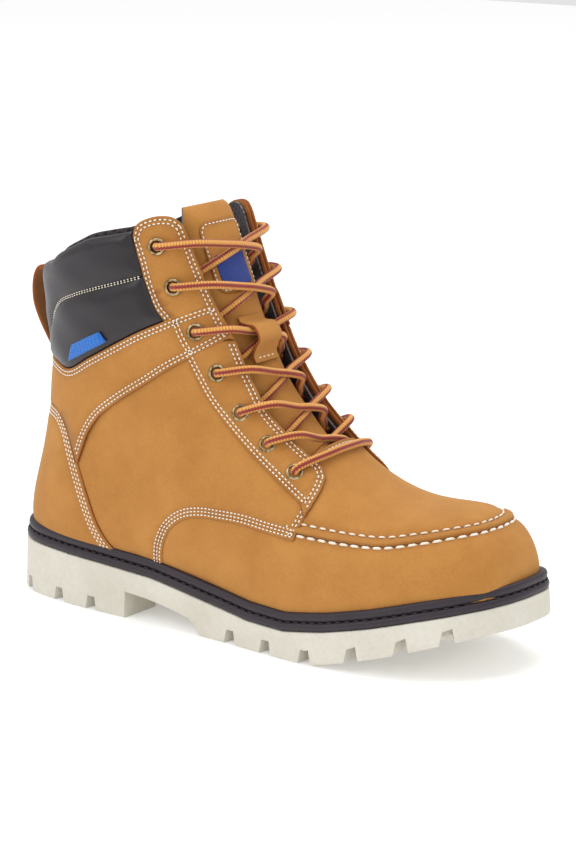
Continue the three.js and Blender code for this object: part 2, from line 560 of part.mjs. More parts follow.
// The lace is one length: a bar over the lowest eyelets, then each strand comes out under one edge of
// the throat, crosses the tongue and goes down through the next eyelet of the other side.
const laceR = laceDiameter / 2;
const laceOver = eyeletTop + laceR + 0.4;     // lying on an eyestay
const laceOnFlange = eyeletTop + gap + eyeletRim + laceR + 0.1;
const laceUnder = eyeletEnd - laceR - 0.9;    // between the lining and the gusset
const laceLow = -tongueLift + laceR + gap + 0.2;    // lying on the tongue
const laceHigh = laceLow + laceDiameter + 0.2;  // lying on the other strand
const turnBend = 3.1;
// Places on a crossing, as shares of the way from its middle to an eyelet.
const tongueShare = 0.72;                     // just inside the throat edge
const dropShare = 0.52;                       // where it has come down to the tongue
const restShare = 0.3;                        // where it lies flat
const riseShare = tongueShare - 0.1;          // where it has climbed over the other edge
const eyeletSpot = (side, row) => locate(...eyeletRows[row], side);
const signedTurn = (side, turn) => (side < 0 ? turn : turn - 2 * Math.PI);
function spot(u, turn, offset) {
  const wrapped = (turn + 2 * Math.PI) % (2 * Math.PI);
  return formPoint(u, wrapped).addScaledVector(formNormal(u, wrapped), offset);
}
function between(from, to, share, offset) {   // on the way from the middle of a crossing to an eyelet
  const [u, turn] = eyeletSpot(...to);
  const [uFrom] = eyeletSpot(...from);
  const middle = (u + uFrom) / 2;
  return spot(middle + share * (u - middle), share * signedTurn(to[0], turn), offset);
}
function throughEyelet(side, row, outside, inside) {  // down from outside, with a round turn at each end
  const { point, normal } = frameAt(...eyeletRows[row], side);
  const across = (target) => target.clone().sub(point).projectOnPlane(normal).normalize();
  const out = across(outside);
  const inn = across(inside);
  const at = (dir, away, offset) => point.clone().addScaledVector(dir, away).addScaledVector(normal, offset);
  const top = laceOnFlange - turnBend;
  const low = laceUnder - 0.6 + turnBend;
  const bend = [[1, 0], [0.3, 0.3], [0, 1]];
  return [...bend.map(([away, drop]) => at(out, away * turnBend, top + (1 - drop) * turnBend)),
    ...bend.reverse().map(([away, drop]) => at(inn, away * turnBend, low - (1 - drop) * turnBend))];
}
function crossing(from, to, high) {           // from inside one eyelet to outside the next one up
  const keeperRow = from[1] === 3;
  const patchRise = to[1] < 2 ? patchThickness + labelThickness + 2 * gap : 0;
  const middle = (high ? laceHigh : laceLow) + patchRise;
  const flat = keeperRow ? 0.34 : 0.25;
  return [between(to, from, tongueShare, laceUnder),
    between(to, from, dropShare, Math.min(middle, laceUnder + 0.4)), between(to, from, restShare, middle),
    between(from, to, 0, middle), between(from, to, flat, middle + 0.2),
    between(from, to, riseShare, laceOver + 0.8)];
}
function strand(side) {                       // from the lowest eyelet of this side up to the top row
  const points = [];
  let here = side;
  for (let row = 6; row > 0; row--) {
    const from = [here, row];
    const to = [-here, row - 1];
    const path = crossing(from, to, to[0] < 0);
    const cameFrom = row === 6 ? between([-here, 6], from, 0.9, laceOver) : points[points.length - 1];
    points.push(...throughEyelet(here, row, cameFrom, path[0]), ...path);
    here = -here;
  }
  const hang = grade([[105, 188], [99, 178], [97, 166], [98, 152], [101, 138], [105, 124], [109, 110]])
    .map(([x, z]) => onForm(x, z, here, -tongueLift + 0.6));
  points.push(...throughEyelet(here, 0, points[points.length - 1], hang[0]), ...hang);
  return points;
}
const bar = [-1, 1].map((side) => [0.72, 0.45, 0.2].map((share) => between([-side, 6], [side, 6], share,
  share > 0.6 ? laceOver + 0.5 : laceR + gap + 1.4)));
const lacePoints = [...strand(-1).reverse(), ...bar[0], ...[...bar[1]].reverse(), ...strand(1)];
class LaceCurve extends THREE.Curve {          // puts one ring of the tube at each point
  constructor(points) {
    super();
    this.spline = new THREE.CatmullRomCurve3(points, false, 'centripetal');
  }

  getPoint(t) {
    return this.spline.getPoint(t);
  }

  getPointAt(t) {
    return this.spline.getPoint(t);
  }

  getTangentAt(t) {
    return this.spline.getTangent(t);
  }

  getSpacedPoints(count) {
    return this.spline.getPoints(count);
  }
}
const laceCurve = new LaceCurve(lacePoints);
const laceSection = new THREE.Shape(Array.from({ length: 8 }, (_, k) => new THREE.Vector2(
  laceR * Math.cos((k * Math.PI) / 4), laceR * Math.sin((k * Math.PI) / 4))));
add('lace', new THREE.ExtrudeGeometry(laceSection, { steps: lacePoints.length - 1, bevelEnabled: false,
  extrudePath: laceCurve }), laceYarn);
const agletLength = 18;
const agletEnd = 1.5;                          // radii, narrower than the lace
const agletMouth = 1.7;
function aglet(end, before) {                  // a short sleeve just past the end of the lace
  const dir = end.clone().sub(before).normalize();
  const g = new THREE.CylinderGeometry(agletEnd, agletMouth, agletLength, 10);
  g.applyQuaternion(new THREE.Quaternion().setFromUnitVectors(new THREE.Vector3(0, -1, 0), dir));
  g.translate(...end.clone().addScaledVector(dir, agletLength / 2 + gap).toArray());
  return g;
}
const lastPoints = lacePoints.slice(-2);
add('aglet_lateral', aglet(lastPoints[1], lastPoints[0]), greyPlastic);
add('aglet_medial', aglet(lacePoints[0], lacePoints[1]), greyPlastic);

// ---------------------------------------------------------------- keeper, pull loop and tag
function strap(line, thickness, y0, y1) {      // a strip that follows a side-view line
  const left = line.map((p, i) => {
    const a = line[Math.max(i - 1, 0)];
    const b = line[Math.min(i + 1, line.length - 1)];
    const length = Math.hypot(b[0] - a[0], b[1] - a[1]);
    return [(-(b[1] - a[1]) / length) * thickness / 2, ((b[0] - a[0]) / length) * thickness / 2];
  });
  const outline = [...line.map((p, i) => [p[0] + left[i][0], p[1] + left[i][1]]),
    ...line.map((p, i) => [p[0] - left[i][0], p[1] - left[i][1]]).reverse()];
  return sidePrism(outline, y0, y1);
}
const keeperSpot = between([1, 3], [-1, 2], 0, -tongueLift);
const [keeperU] = eyeletSpot(-1, 2);
const slope = formPoint(keeperU, 0).sub(formPoint(keeperU - 1.2, 0)).normalize();
const keeperArch = laceHigh + laceR + tongueLift + gap + keeperThickness / 2;
const keeperLine = smooth([[-11, keeperThickness / 2 + 4 * gap], [-8, keeperThickness / 2 + 3 * gap],
  [-5, keeperArch * 0.55], [-2.5, keeperArch - 0.4], [1, keeperArch + 0.2], [4.5, keeperArch - 0.4],
  [7, keeperArch * 0.55], [9.5, keeperThickness / 2 + 3 * gap]], 2)
  .map(([s, h]) => [keeperSpot.x + slope.x * s + slope.z * h, keeperSpot.z + slope.z * s - slope.x * h]);
const keeperShift = -5;                        // it sits towards the outer side, between two crossings
add('lace_keeper', strap(keeperLine, keeperThickness, keeperShift + 1 - keeperWidth / 2,
  keeperShift - 1 + keeperWidth / 2), nubuck);
const loopLine = smooth(grade([[16.6, 170.5], [13.5, 172], [10, 171], [7.4, 167], [6.2, 160], [6.8, 152.5],
  [9.4, 145.5], [13, 139], [16.8, 133]]), 2);
add('pull_loop', strap(loopLine, loopThickness, -loopWidth / 2, loopWidth / 2), nubuckDark);
add('collar_tag', shell(constant(collarPuff + gap + 0.7), constant(collarPuff + gap))
  .intersect(sideBoxes.lateral())
  .intersect(sidePrism(grade([[58, 131.5], [84, 144], [80, 149.5], [61, 140.5]]))), blueTape);

// The origin is the middle of the underside of the boot's box.
const whole = new THREE.Box3().setFromObject(model);
model.position.set(-(whole.min.x + whole.max.x) / 2, -(whole.min.y + whole.max.y) / 2, -whole.min.z);

export default boot;
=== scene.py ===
"""Looks of a right steel toe work boot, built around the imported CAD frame.

The upper is drawn on the same foot form as the CAD part, in the pattern's millimetres, and each panel
is cut from it as a closed leather shell with rounded edges, sunk seams and real stitches.
"""

import logging
import math
from dataclasses import dataclass, field, replace
from enum import Enum
from functools import partial
from typing import Callable, Optional, Sequence

import bmesh
import bpy
import numpy as np
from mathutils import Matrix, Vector
from mathutils.geometry import delaunay_2d_cdt


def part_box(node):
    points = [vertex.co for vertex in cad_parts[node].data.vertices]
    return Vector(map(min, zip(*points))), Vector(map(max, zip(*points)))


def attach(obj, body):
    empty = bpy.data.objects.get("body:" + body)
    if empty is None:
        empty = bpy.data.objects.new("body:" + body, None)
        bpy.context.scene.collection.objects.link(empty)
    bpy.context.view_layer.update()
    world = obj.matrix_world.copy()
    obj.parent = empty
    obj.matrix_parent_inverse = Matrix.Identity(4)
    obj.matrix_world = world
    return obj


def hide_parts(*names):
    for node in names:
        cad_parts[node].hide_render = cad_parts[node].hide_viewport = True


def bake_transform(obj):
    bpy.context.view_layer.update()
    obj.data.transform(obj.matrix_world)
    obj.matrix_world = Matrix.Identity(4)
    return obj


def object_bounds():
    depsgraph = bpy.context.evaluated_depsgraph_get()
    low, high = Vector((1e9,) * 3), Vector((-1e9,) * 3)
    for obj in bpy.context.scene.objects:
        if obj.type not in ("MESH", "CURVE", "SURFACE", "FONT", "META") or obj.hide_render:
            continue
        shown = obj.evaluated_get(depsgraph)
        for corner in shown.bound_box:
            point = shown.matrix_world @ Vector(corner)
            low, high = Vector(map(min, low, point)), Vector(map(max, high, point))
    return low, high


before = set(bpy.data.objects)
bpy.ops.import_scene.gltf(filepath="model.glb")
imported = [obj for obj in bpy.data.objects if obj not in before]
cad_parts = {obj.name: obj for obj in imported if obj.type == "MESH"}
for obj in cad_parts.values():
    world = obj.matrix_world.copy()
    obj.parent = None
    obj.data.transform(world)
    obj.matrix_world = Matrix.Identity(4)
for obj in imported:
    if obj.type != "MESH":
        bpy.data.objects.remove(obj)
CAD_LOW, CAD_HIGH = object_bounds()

Array = np.ndarray
LOG = logging.getLogger("boot")
MM = 0.001
TAU = 2.0 * math.pi
RIM_STEP = 1.3  # spacing of the points along a panel's rim, in millimetres
HOLE_RADIUS = 3.0  # hole in the leather under an eyelet
BRAID_PITCH = 1.5  # millimetres of lace for each carrier of the braid
BRAID_RIBS = 3.0  # ribs round the lace
BRAID_LEAN = 1.6  # pitches that a carrier climbs across half a rib


class Side(Enum):
    """The two sides of the boot; the value is the sign of Y."""

    LATERAL = -1
    MEDIAL = 1

    @property
    def word(self) -> str:
        """The side's name as the nodes spell it."""
        return self.name.lower()


class Wrap(Enum):
    """Where a medial line joins the lateral one when a panel crosses the middle of the boot."""

    INSTEP = 0
    BACK = 1


class Place:
    """Turns the pattern's millimetres into the frame's metres."""

    HALF_BALL = 55.5

    shift = np.array([CAD_LOW.x / MM, CAD_LOW.y / MM + HALF_BALL, CAD_LOW.z / MM])

    @classmethod
    def metres(cls, points: Array) -> Array:
        """Moves pattern points into the frame.

        Args:
            points: Points in pattern millimetres, with X, Y, Z last.

        Returns:
            The same points in frame metres.
        """
        return (np.asarray(points, float) + cls.shift) * MM


# ------------------------------------------------------------------------------------ numeric helpers
def ramp(value: Array, low: float, high: float) -> Array:
    """Smooth step from 0 at low to 1 at high.

    Args:
        value: Where to read the step.
        low: Where the step starts.
        high: Where the step ends; it may be below low.

    Returns:
        The step's value, 0 to 1.
    """
    t = np.clip((np.asarray(value, float) - low) / (high - low), 0.0, 1.0)
    return t * t * (3.0 - 2.0 * t)


def reading(table: Sequence[Sequence[float]], x: Array) -> Array:
    """Linear reading of a table of [x, value] rows.

    Args:
        table: Rows sorted by x.
        x: Where to read it.

    Returns:
        The values at x.
    """
    rows = np.asarray(table, float)
    return np.interp(x, rows[:, 0], rows[:, 1])


def lengths(points: Array) -> Array:
    """Running length along a polyline.

    Args:
        points: The polyline's points, one a row.

    Returns:
        The length from the first point to each point.
    """
    steps = np.linalg.norm(np.diff(points, axis=0), axis=1)
    return np.concatenate([[0.0], np.cumsum(steps)])


def respaced(points: Array, step: float, closed: bool = False) -> Array:
    """The same polyline with evenly spaced points.

    Args:
        points: The polyline.
        step: The wanted spacing.
        closed: Whether the last point joins the first.

    Returns:
        The new points; a closed line doesn't repeat its first point.
    """
    line = np.vstack([points, points[:1]]) if closed else points
    run = lengths(line)
    count = max(int(round(run[-1] / step)), 2)
    marks = np.linspace(0.0, run[-1], count + 1)
    out = np.stack([np.interp(marks, run, line[:, k]) for k in range(line.shape[1])], axis=1)
    return out[:-1] if closed else out


def spline(points: Sequence[Sequence[float]], step: float = 1.0, closed: bool = False) -> Array:
    """Smooth curve through given points, centripetal so that it never loops at a corner.

    Args:
        points: The points that it passes.
        step: Spacing of the result.
        closed: Whether the curve comes back to its first point.

    Returns:
        Evenly spaced points of the curve.
    """
    p = np.asarray(points, float)
    if closed:
        p = np.vstack([p[-1:], p, p[:2]])
    else:
        p = np.vstack([2 * p[:1] - p[1:2], p, 2 * p[-1:] - p[-2:-1]])
    out = []
    for a, b, c, d in zip(p[:-3], p[1:-2], p[2:-1], p[3:]):
        t1 = max(np.linalg.norm(b - a), 1e-6) ** 0.5
        t2 = t1 + max(np.linalg.norm(c - b), 1e-6) ** 0.5
        t3 = t2 + max(np.linalg.norm(d - c), 1e-6) ** 0.5
        t = np.linspace(t1, t2, 12, endpoint=False)[:, None]
        ab = (t1 - t) / t1 * a + t / t1 * b
        bc = (t2 - t) / (t2 - t1) * b + (t - t1) / (t2 - t1) * c
        cd = (t3 - t) / (t3 - t2) * c + (t - t2) / (t3 - t2) * d
        abc = (t2 - t) / t2 * ab + t / t2 * bc
        bcd = (t3 - t) / (t3 - t1) * bc + (t - t1) / (t3 - t1) * cd
        out.append((t2 - t) / (t2 - t1) * abc + (t - t1) / (t2 - t1) * bcd)
    curve = np.vstack(out)
    if not closed:
        curve = np.vstack([curve, p[-2:-1]])
    return respaced(curve, step, closed)


def polyline_distance(points: Array, line: Array, closed: bool = False) -> Array:
    """Distance from points to the nearest place of a polyline.

    Args:
        points: The points.
        line: The polyline.
        closed: Whether the last point joins the first.

    Returns:
        One distance for each point.
    """
    a = line if closed else line[:-1]
    b = np.roll(line, -1, axis=0) if closed else line[1:]
    ab = b - a
    size = np.maximum((ab * ab).sum(1), 1e-12)
    best = np.full(len(points), 1e9)
    for start in range(0, len(points), 2000):
        p = points[start : start + 2000, None, :]
        t = np.clip(((p - a) * ab).sum(2) / size, 0.0, 1.0)
        d = np.linalg.norm(p - a - t[..., None] * ab, axis=2)
        best[start : start + 2000] = d.min(1)
    return best


def inside(points: Array, loop: Array) -> Array:
    """Even-odd test of 2-D points against a closed loop.

    Args:
        points: The points, one a row.
        loop: The loop's corners.

    Returns:
        True where a point is inside.
    """
    a, b = loop, np.roll(loop, -1, axis=0)
    within = np.zeros(len(points), bool)
    for start in range(0, len(points), 4000):
        x = points[start : start + 4000, 0][:, None]
        y = points[start : start + 4000, 1][:, None]
        spans = (a[:, 1] > y) != (b[:, 1] > y)
        rise = np.where(b[:, 1] == a[:, 1], 1e-12, b[:, 1] - a[:, 1])
        crossing = a[:, 0] + (y - a[:, 1]) * (b[:, 0] - a[:, 0]) / rise
        within[start : start + 4000] = (spans & (x < crossing)).sum(1) % 2 == 1
    return within


def mesh_object(name: str, points: Array, faces: Sequence[Sequence[int]], uvs: Optional[Array] = None,
                slots: Optional[Sequence[int]] = None, millimetres: bool = True) -> bpy.types.Object:
    """Makes a smooth-shaded mesh object and links it to the scene.

    Args:
        name: The object's name.
        points: Its vertices, in pattern millimetres unless millimetres is False.
        faces: Vertex numbers of each face.
        uvs: A pair for each vertex, in metres along the surface, or None.
        slots: The material number of each face, or None for all 0.
        millimetres: Whether points are pattern millimetres rather than frame metres.

    Returns:
        The new object.
    """
    data = bpy.data.meshes.new(name)
    placed = Place.metres(points) if millimetres else np.asarray(points, float)
    data.from_pydata(placed.tolist(), [], [list(map(int, f)) for f in faces])
    data.polygons.foreach_set("use_smooth", [True] * len(data.polygons))
    if slots is not None:
        data.polygons.foreach_set("material_index", list(slots))
    if uvs is not None:
        layer = data.uv_layers.new(name="span")
        corner = np.zeros(len(data.loops), np.int32)
        data.loops.foreach_get("vertex_index", corner)
        layer.data.foreach_set("uv", np.asarray(uvs, np.float32)[corner].ravel())
    data.update()
    made = bpy.data.objects.new(name, data)
    bpy.context.scene.collection.objects.link(made)
    return made


def ring_faces(rings: int, around: int, closed: bool = False) -> list[tuple[int, ...]]:
    """Quads between neighbouring rings of points.

    Args:
        rings: How many rings there are.
        around: Points in each ring.
        closed: Whether the last ring joins the first.

    Returns:
        Vertex numbers of each quad.
    """
    faces = []
    for r in range(rings if closed else rings - 1):
        here, there = r * around, (r + 1) % rings * around
        for k in range(around):
            m = (k + 1) % around
            faces.append((here + k, there + k, there + m, here + m))
    return faces


def tube_faces(rings: int, around: int, first: int = 0) -> list[tuple[int, ...]]:
    """Faces of a tube with a flat cap at each end.

    Args:
        rings: How many rings there are.
        around: Points in each ring.
        first: Number of the first ring's first point.

    Returns:
        Vertex numbers of each face, the two caps last.
    """
    faces = []
    for r in range(rings - 1):
        here, there = first + r * around, first + (r + 1) * around
        for k in range(around):
            m = (k + 1) % around
            faces.append((here + k, here + m, there + m, there + k))
    end = first + (rings - 1) * around
    faces.append(tuple(first + k for k in range(around))[::-1])
    faces.append(tuple(end + k for k in range(around)))
    return faces


def dress(piece: bpy.types.Object, materials: Sequence[bpy.types.Material], body: str = "boot",
          replaces: Sequence[str] = ()) -> bpy.types.Object:
    """Gives a piece its materials, its body and the CAD nodes that it stands for.

    Args:
        piece: The piece.
        materials: Its materials, by material number.
        body: The CAD body that it rides on; an empty word leaves that to the caller.
        replaces: The CAD nodes that it stands for.

    Returns:
        The same piece.
    """
    for material in materials:
        piece.data.materials.append(material)
    if body:
        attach(piece, body)
    if replaces:
        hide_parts(*replaces)
    return piece


# ------------------------------------------------------------------------------------------ materials
def linear(hex_colour: str) -> tuple[float, float, float, float]:
    """Turns an sRGB hex colour into the linear colour that shaders take.

    Args:
        hex_colour: Six hex digits after a hash.

    Returns:
        Linear red, green, blue and alpha.
    """
    channels = [int(hex_colour[k : k + 2], 16) / 255.0 for k in (1, 3, 5)]
    out = [c / 12.92 if c <= 0.04045 else ((c + 0.055) / 1.055) ** 2.4 for c in channels]
    return out[0], out[1], out[2], 1.0


def add_node(tree: bpy.types.NodeTree, kind: str, settings: Optional[dict] = None,
             inputs: Optional[dict] = None) -> bpy.types.Node:
    """Adds one shader node with its settings, values and links.

    Args:
        tree: The node tree.
        kind: The node's type name.
        settings: Attributes to set on the node.
        inputs: Socket name or number to a value, or to a socket that is linked to it.

    Returns:
        The new node.
    """
    node = tree.nodes.new(kind)
    for key, value in (settings or {}).items():
        setattr(node, key, value)
    for key, value in (inputs or {}).items():
        if isinstance(value, bpy.types.NodeSocket):
            tree.links.new(value, node.inputs[key])
        else:
            node.inputs[key].default_value = value
    return node


def blank(name: str) -> tuple[bpy.types.Material, bpy.types.NodeTree, bpy.types.Node]:
    """A new material with only its principled shader.

    Args:
        name: The material's name.

    Returns:
        The material, its tree and its shader node.
    """
    material = bpy.data.materials.new(name)
    material.use_nodes = True
    tree = material.node_tree
    tree.nodes.clear()
    shader = add_node(tree, "ShaderNodeBsdfPrincipled")
    add_node(tree, "ShaderNodeOutputMaterial", inputs={"Surface": shader.outputs["BSDF"]})
    return material, tree, shader


def ramp_stops(node: bpy.types.Node, stops: Sequence[tuple[float, str]]) -> bpy.types.Node:
    """Sets the stops of a colour ramp.

    Args:
        node: The colour ramp.
        stops: Pairs of position and hex colour.

    Returns:
        The same node.
    """
    elements = node.color_ramp.elements
    while len(elements) > len(stops):
        elements.remove(elements[-1])
    while len(elements) < len(stops):
        elements.new(1.0)
    for element, (position, colour) in zip(elements, stops):
        element.position = position
        element.color = linear(colour)
    return node


@dataclass(frozen=True)
class Grained:
    """A surface with mottled colour and a fine grain: nubuck, suede edges, rubber, smooth leather."""

    name: str
    dark: str
    light: str
    roughness: float
    grain_mm: float
    grain_height_mm: float
    mottle_mm: float = 26.0
    sheen: float = 0.0
    sheen_tint: str = "#ffffff"
    coat: float = 0.0
    ior: float = 1.45
    cells: bool = False
    creases: float = 0.0
    burnish_and_groove_shade: str = ""

    def build(self) -> bpy.types.Material:
        """Makes the material.

        Returns:
            The new material.
        """
        material, tree, shader = blank(self.name)
        place = add_node(tree, "ShaderNodeTexCoord").outputs["Object"]
        mottle = add_node(tree, "ShaderNodeTexNoise", inputs={
            "Vector": place, "Scale": 1.0 / (self.mottle_mm * MM), "Detail": 5.0, "Roughness": 0.62})
        nap = add_node(tree, "ShaderNodeTexNoise", inputs={
            "Vector": place, "Scale": 1.0 / (2.2 * self.grain_mm * MM), "Detail": 3.0, "Roughness": 0.7})
        blend = add_node(tree, "ShaderNodeMix", {"data_type": "FLOAT"}, {
            "Factor": 0.38, "A": mottle.outputs["Fac"], "B": nap.outputs["Fac"]})
        colour = ramp_stops(add_node(tree, "ShaderNodeValToRGB", inputs={"Fac": blend.outputs[0]}),
                            [(0.34, self.dark), (0.64, self.light)]).outputs["Color"]
        # The burnish colour darkens the cut rims, where it is the leather's rust edge, and the stitch rows,
        # where it is painted shade in the sunk seams.
        if self.burnish_and_groove_shade:
            worn = add_node(tree, "ShaderNodeAttribute", {"attribute_name": "burnish_and_groove_shade"})
            share = add_node(tree, "ShaderNodeMath", {"operation": "MULTIPLY"},
                             {0: worn.outputs["Fac"], 1: 0.72})
            colour = add_node(tree, "ShaderNodeMix", {"data_type": "RGBA"}, {
                "Factor": share.outputs[0], "A": colour, "B": linear(self.burnish_and_groove_shade)}).outputs["Result"]
        tree.links.new(colour, shader.inputs["Base Color"])
        kind = "ShaderNodeTexVoronoi" if self.cells else "ShaderNodeTexNoise"
        grain = add_node(tree, kind, inputs={"Vector": place, "Scale": 1.0 / (self.grain_mm * MM)})
        bump = add_node(tree, "ShaderNodeBump", inputs={
            "Strength": 1.0, "Distance": self.grain_height_mm * MM, "Height": grain.outputs[0]})
        if self.creases:
            folds = add_node(tree, "ShaderNodeTexNoise", inputs={
                "Vector": place, "Scale": 90.0, "Detail": 2.0, "Distortion": 0.8})
            bump = add_node(tree, "ShaderNodeBump", inputs={
                "Strength": 1.0, "Distance": self.creases * MM, "Height": folds.outputs["Fac"],
                "Normal": bump.outputs["Normal"]})
        tree.links.new(bump.outputs["Normal"], shader.inputs["Normal"])
        rough = add_node(tree, "ShaderNodeMapRange", inputs={
            "Value": nap.outputs["Fac"], "To Min": max(self.roughness - 0.08, 0.05),
            "To Max": min(self.roughness + 0.08, 1.0)})
        tree.links.new(rough.outputs["Result"], shader.inputs["Roughness"])
        shader.inputs["IOR"].default_value = self.ior
        shader.inputs["Sheen Weight"].default_value = self.sheen
        shader.inputs["Sheen Roughness"].default_value = 0.45
        shader.inputs["Sheen Tint"].default_value = linear(self.sheen_tint)
        shader.inputs["Coat Weight"].default_value = self.coat
        shader.inputs["Coat Roughness"].default_value = 0.32
        return material


@dataclass(frozen=True)
class Woven:
    """A textile whose threads cross at a real spacing, read from the piece's own span coordinates."""

    name: str
    dark: str
    light: str
    thread_mm: float
    roughness: float = 0.9
    relief_mm: float = 0.25
    diagonal: bool = False
    sheen: float = 0.15

    def build(self) -> bpy.types.Material:
        """Makes the material.

        Returns:
            The new material.
        """
        material, tree, shader = blank(self.name)
        span = add_node(tree, "ShaderNodeTexCoord").outputs["UV"]
        turn = math.radians(45.0 if self.diagonal else 0.0)
        spun = add_node(tree, "ShaderNodeMapping", inputs={"Vector": span, "Rotation": (0.0, 0.0, turn)})
        scale = 1.0 / (self.thread_mm * MM) / 20.0 * 3.1416
        waves = [add_node(tree, "ShaderNodeTexWave", {"wave_type": "BANDS", "bands_direction": axis,
                                                      "wave_profile": "SIN"},
                          {"Vector": spun.outputs["Vector"], "Scale": scale, "Distortion": 0.0})
                 for axis in ("X", "Y")]
        weave = add_node(tree, "ShaderNodeMath", {"operation": "MAXIMUM"},
                         {0: waves[0].outputs["Fac"], 1: waves[1].outputs["Fac"]})
        place = add_node(tree, "ShaderNodeTexCoord").outputs["Object"]
        fuzz = add_node(tree, "ShaderNodeTexNoise", inputs={"Vector": place, "Scale": 900.0, "Detail": 2.0})
        both = add_node(tree, "ShaderNodeMix", {"data_type": "FLOAT"}, {
            "Factor": 0.35, "A": weave.outputs[0], "B": fuzz.outputs["Fac"]})
        colour = ramp_stops(add_node(tree, "ShaderNodeValToRGB", inputs={"Fac": both.outputs[0]}),
                            [(0.3, self.dark), (0.85, self.light)])
        tree.links.new(colour.outputs["Color"], shader.inputs["Base Color"])
        bump = add_node(tree, "ShaderNodeBump", inputs={
            "Strength": 0.9, "Distance": self.relief_mm * MM, "Height": both.outputs[0]})
        tree.links.new(bump.outputs["Normal"], shader.inputs["Normal"])
        shader.inputs["Roughness"].default_value = self.roughness
        shader.inputs["Sheen Weight"].default_value = self.sheen
        return material


@dataclass(frozen=True)
class Braided:
    """Round lace braid: gold yarn with a dark red rib whose edges step with each carrier."""

    name: str = "polyester_braid_gold_red"
    gold: str = "#e2a24a"
    gold_dark: str = "#9a5c1c"
    red: str = "#92241a"
    pitch_mm: float = BRAID_PITCH

    def build(self) -> bpy.types.Material:
        """Makes the material.

        Returns:
            The new material.
        """
        material, tree, shader = blank(self.name)
        span = add_node(tree, "ShaderNodeTexCoord").outputs["UV"]
        parts = add_node(tree, "ShaderNodeSeparateXYZ", inputs={"Vector": span})
        along, around = parts.outputs["X"], parts.outputs["Y"]
        steps = add_node(tree, "ShaderNodeMath", {"operation": "MULTIPLY"},
                         {0: along, 1: 1.0 / (self.pitch_mm * MM)})
        saw = add_node(tree, "ShaderNodeMath", {"operation": "FRACT"}, {0: steps.outputs[0]})
        ribs = add_node(tree, "ShaderNodeMath", {"operation": "MULTIPLY"}, {0: around, 1: BRAID_RIBS})
        phase = add_node(tree, "ShaderNodeMath", {"operation": "FRACT"}, {0: ribs.outputs[0]})
        away = add_node(tree, "ShaderNodeMath", {"operation": "SUBTRACT"}, {0: phase.outputs[0], 1: 0.5})
        size = add_node(tree, "ShaderNodeMath", {"operation": "ABSOLUTE"}, {0: away.outputs[0]})
        lean = add_node(tree, "ShaderNodeMath", {"operation": "MULTIPLY_ADD"},
                        {0: saw.outputs[0], 1: 0.2, 2: size.outputs[0]})
        red = add_node(tree, "ShaderNodeMapRange", inputs={
            "Value": lean.outputs[0], "From Min": 0.30, "From Max": 0.33, "To Min": 1.0, "To Max": 0.0})
        lift = add_node(tree, "ShaderNodeMath", {"operation": "MULTIPLY_ADD"},
                        {0: size.outputs[0], 1: BRAID_LEAN, 2: steps.outputs[0]})
        yarn = add_node(tree, "ShaderNodeMath", {"operation": "FRACT"}, {0: lift.outputs[0]})
        hill = add_node(tree, "ShaderNodeMath", {"operation": "PINGPONG"}, {0: yarn.outputs[0], 1: 0.5})
        gold = ramp_stops(add_node(tree, "ShaderNodeValToRGB", inputs={"Fac": hill.outputs[0]}),
                          [(0.03, self.gold_dark), (0.16, self.gold)])
        crimson = ramp_stops(add_node(tree, "ShaderNodeValToRGB", inputs={"Fac": hill.outputs[0]}),
                             [(0.03, "#4e0e0c"), (0.2, self.red)])
        colour = add_node(tree, "ShaderNodeMix", {"data_type": "RGBA"}, {
            "Factor": red.outputs["Result"], "A": gold.outputs["Color"], "B": crimson.outputs["Color"]})
        tree.links.new(colour.outputs["Result"], shader.inputs["Base Color"])
        bump = add_node(tree, "ShaderNodeBump", inputs={
            "Strength": 1.0, "Distance": 0.35 * MM, "Height": hill.outputs[0]})
        tree.links.new(bump.outputs["Normal"], shader.inputs["Normal"])
        shader.inputs["Roughness"].default_value = 0.62
        shader.inputs["Sheen Weight"].default_value = 0.2
        return material


@dataclass(frozen=True)
class Metal:
    """A metal with worn bright places and darker ones."""

    name: str
    dark: str
    light: str
    roughness: float
    patch_mm: float = 2.0
    scratch: float = 0.02

    def build(self) -> bpy.types.Material:
        """Makes the material.

        Returns:
            The new material.
        """
        material, tree, shader = blank(self.name)
        place = add_node(tree, "ShaderNodeTexCoord").outputs["Object"]
        patina = add_node(tree, "ShaderNodeTexNoise", inputs={
            "Vector": place, "Scale": 1.0 / (self.patch_mm * MM), "Detail": 4.0})
        colour = ramp_stops(add_node(tree, "ShaderNodeValToRGB", inputs={"Fac": patina.outputs["Fac"]}),
                            [(0.36, self.dark), (0.62, self.light)])
        tree.links.new(colour.outputs["Color"], shader.inputs["Base Color"])
        rough = add_node(tree, "ShaderNodeMapRange", inputs={
            "Value": patina.outputs["Fac"], "To Min": self.roughness + 0.15,
            "To Max": self.roughness - 0.08})
        tree.links.new(rough.outputs["Result"], shader.inputs["Roughness"])
        bump = add_node(tree, "ShaderNodeBump", inputs={
            "Strength": 0.6, "Distance": self.scratch * MM, "Height": patina.outputs["Fac"]})
        tree.links.new(bump.outputs["Normal"], shader.inputs["Normal"])
        shader.inputs["Metallic"].default_value = 1.0
        return material


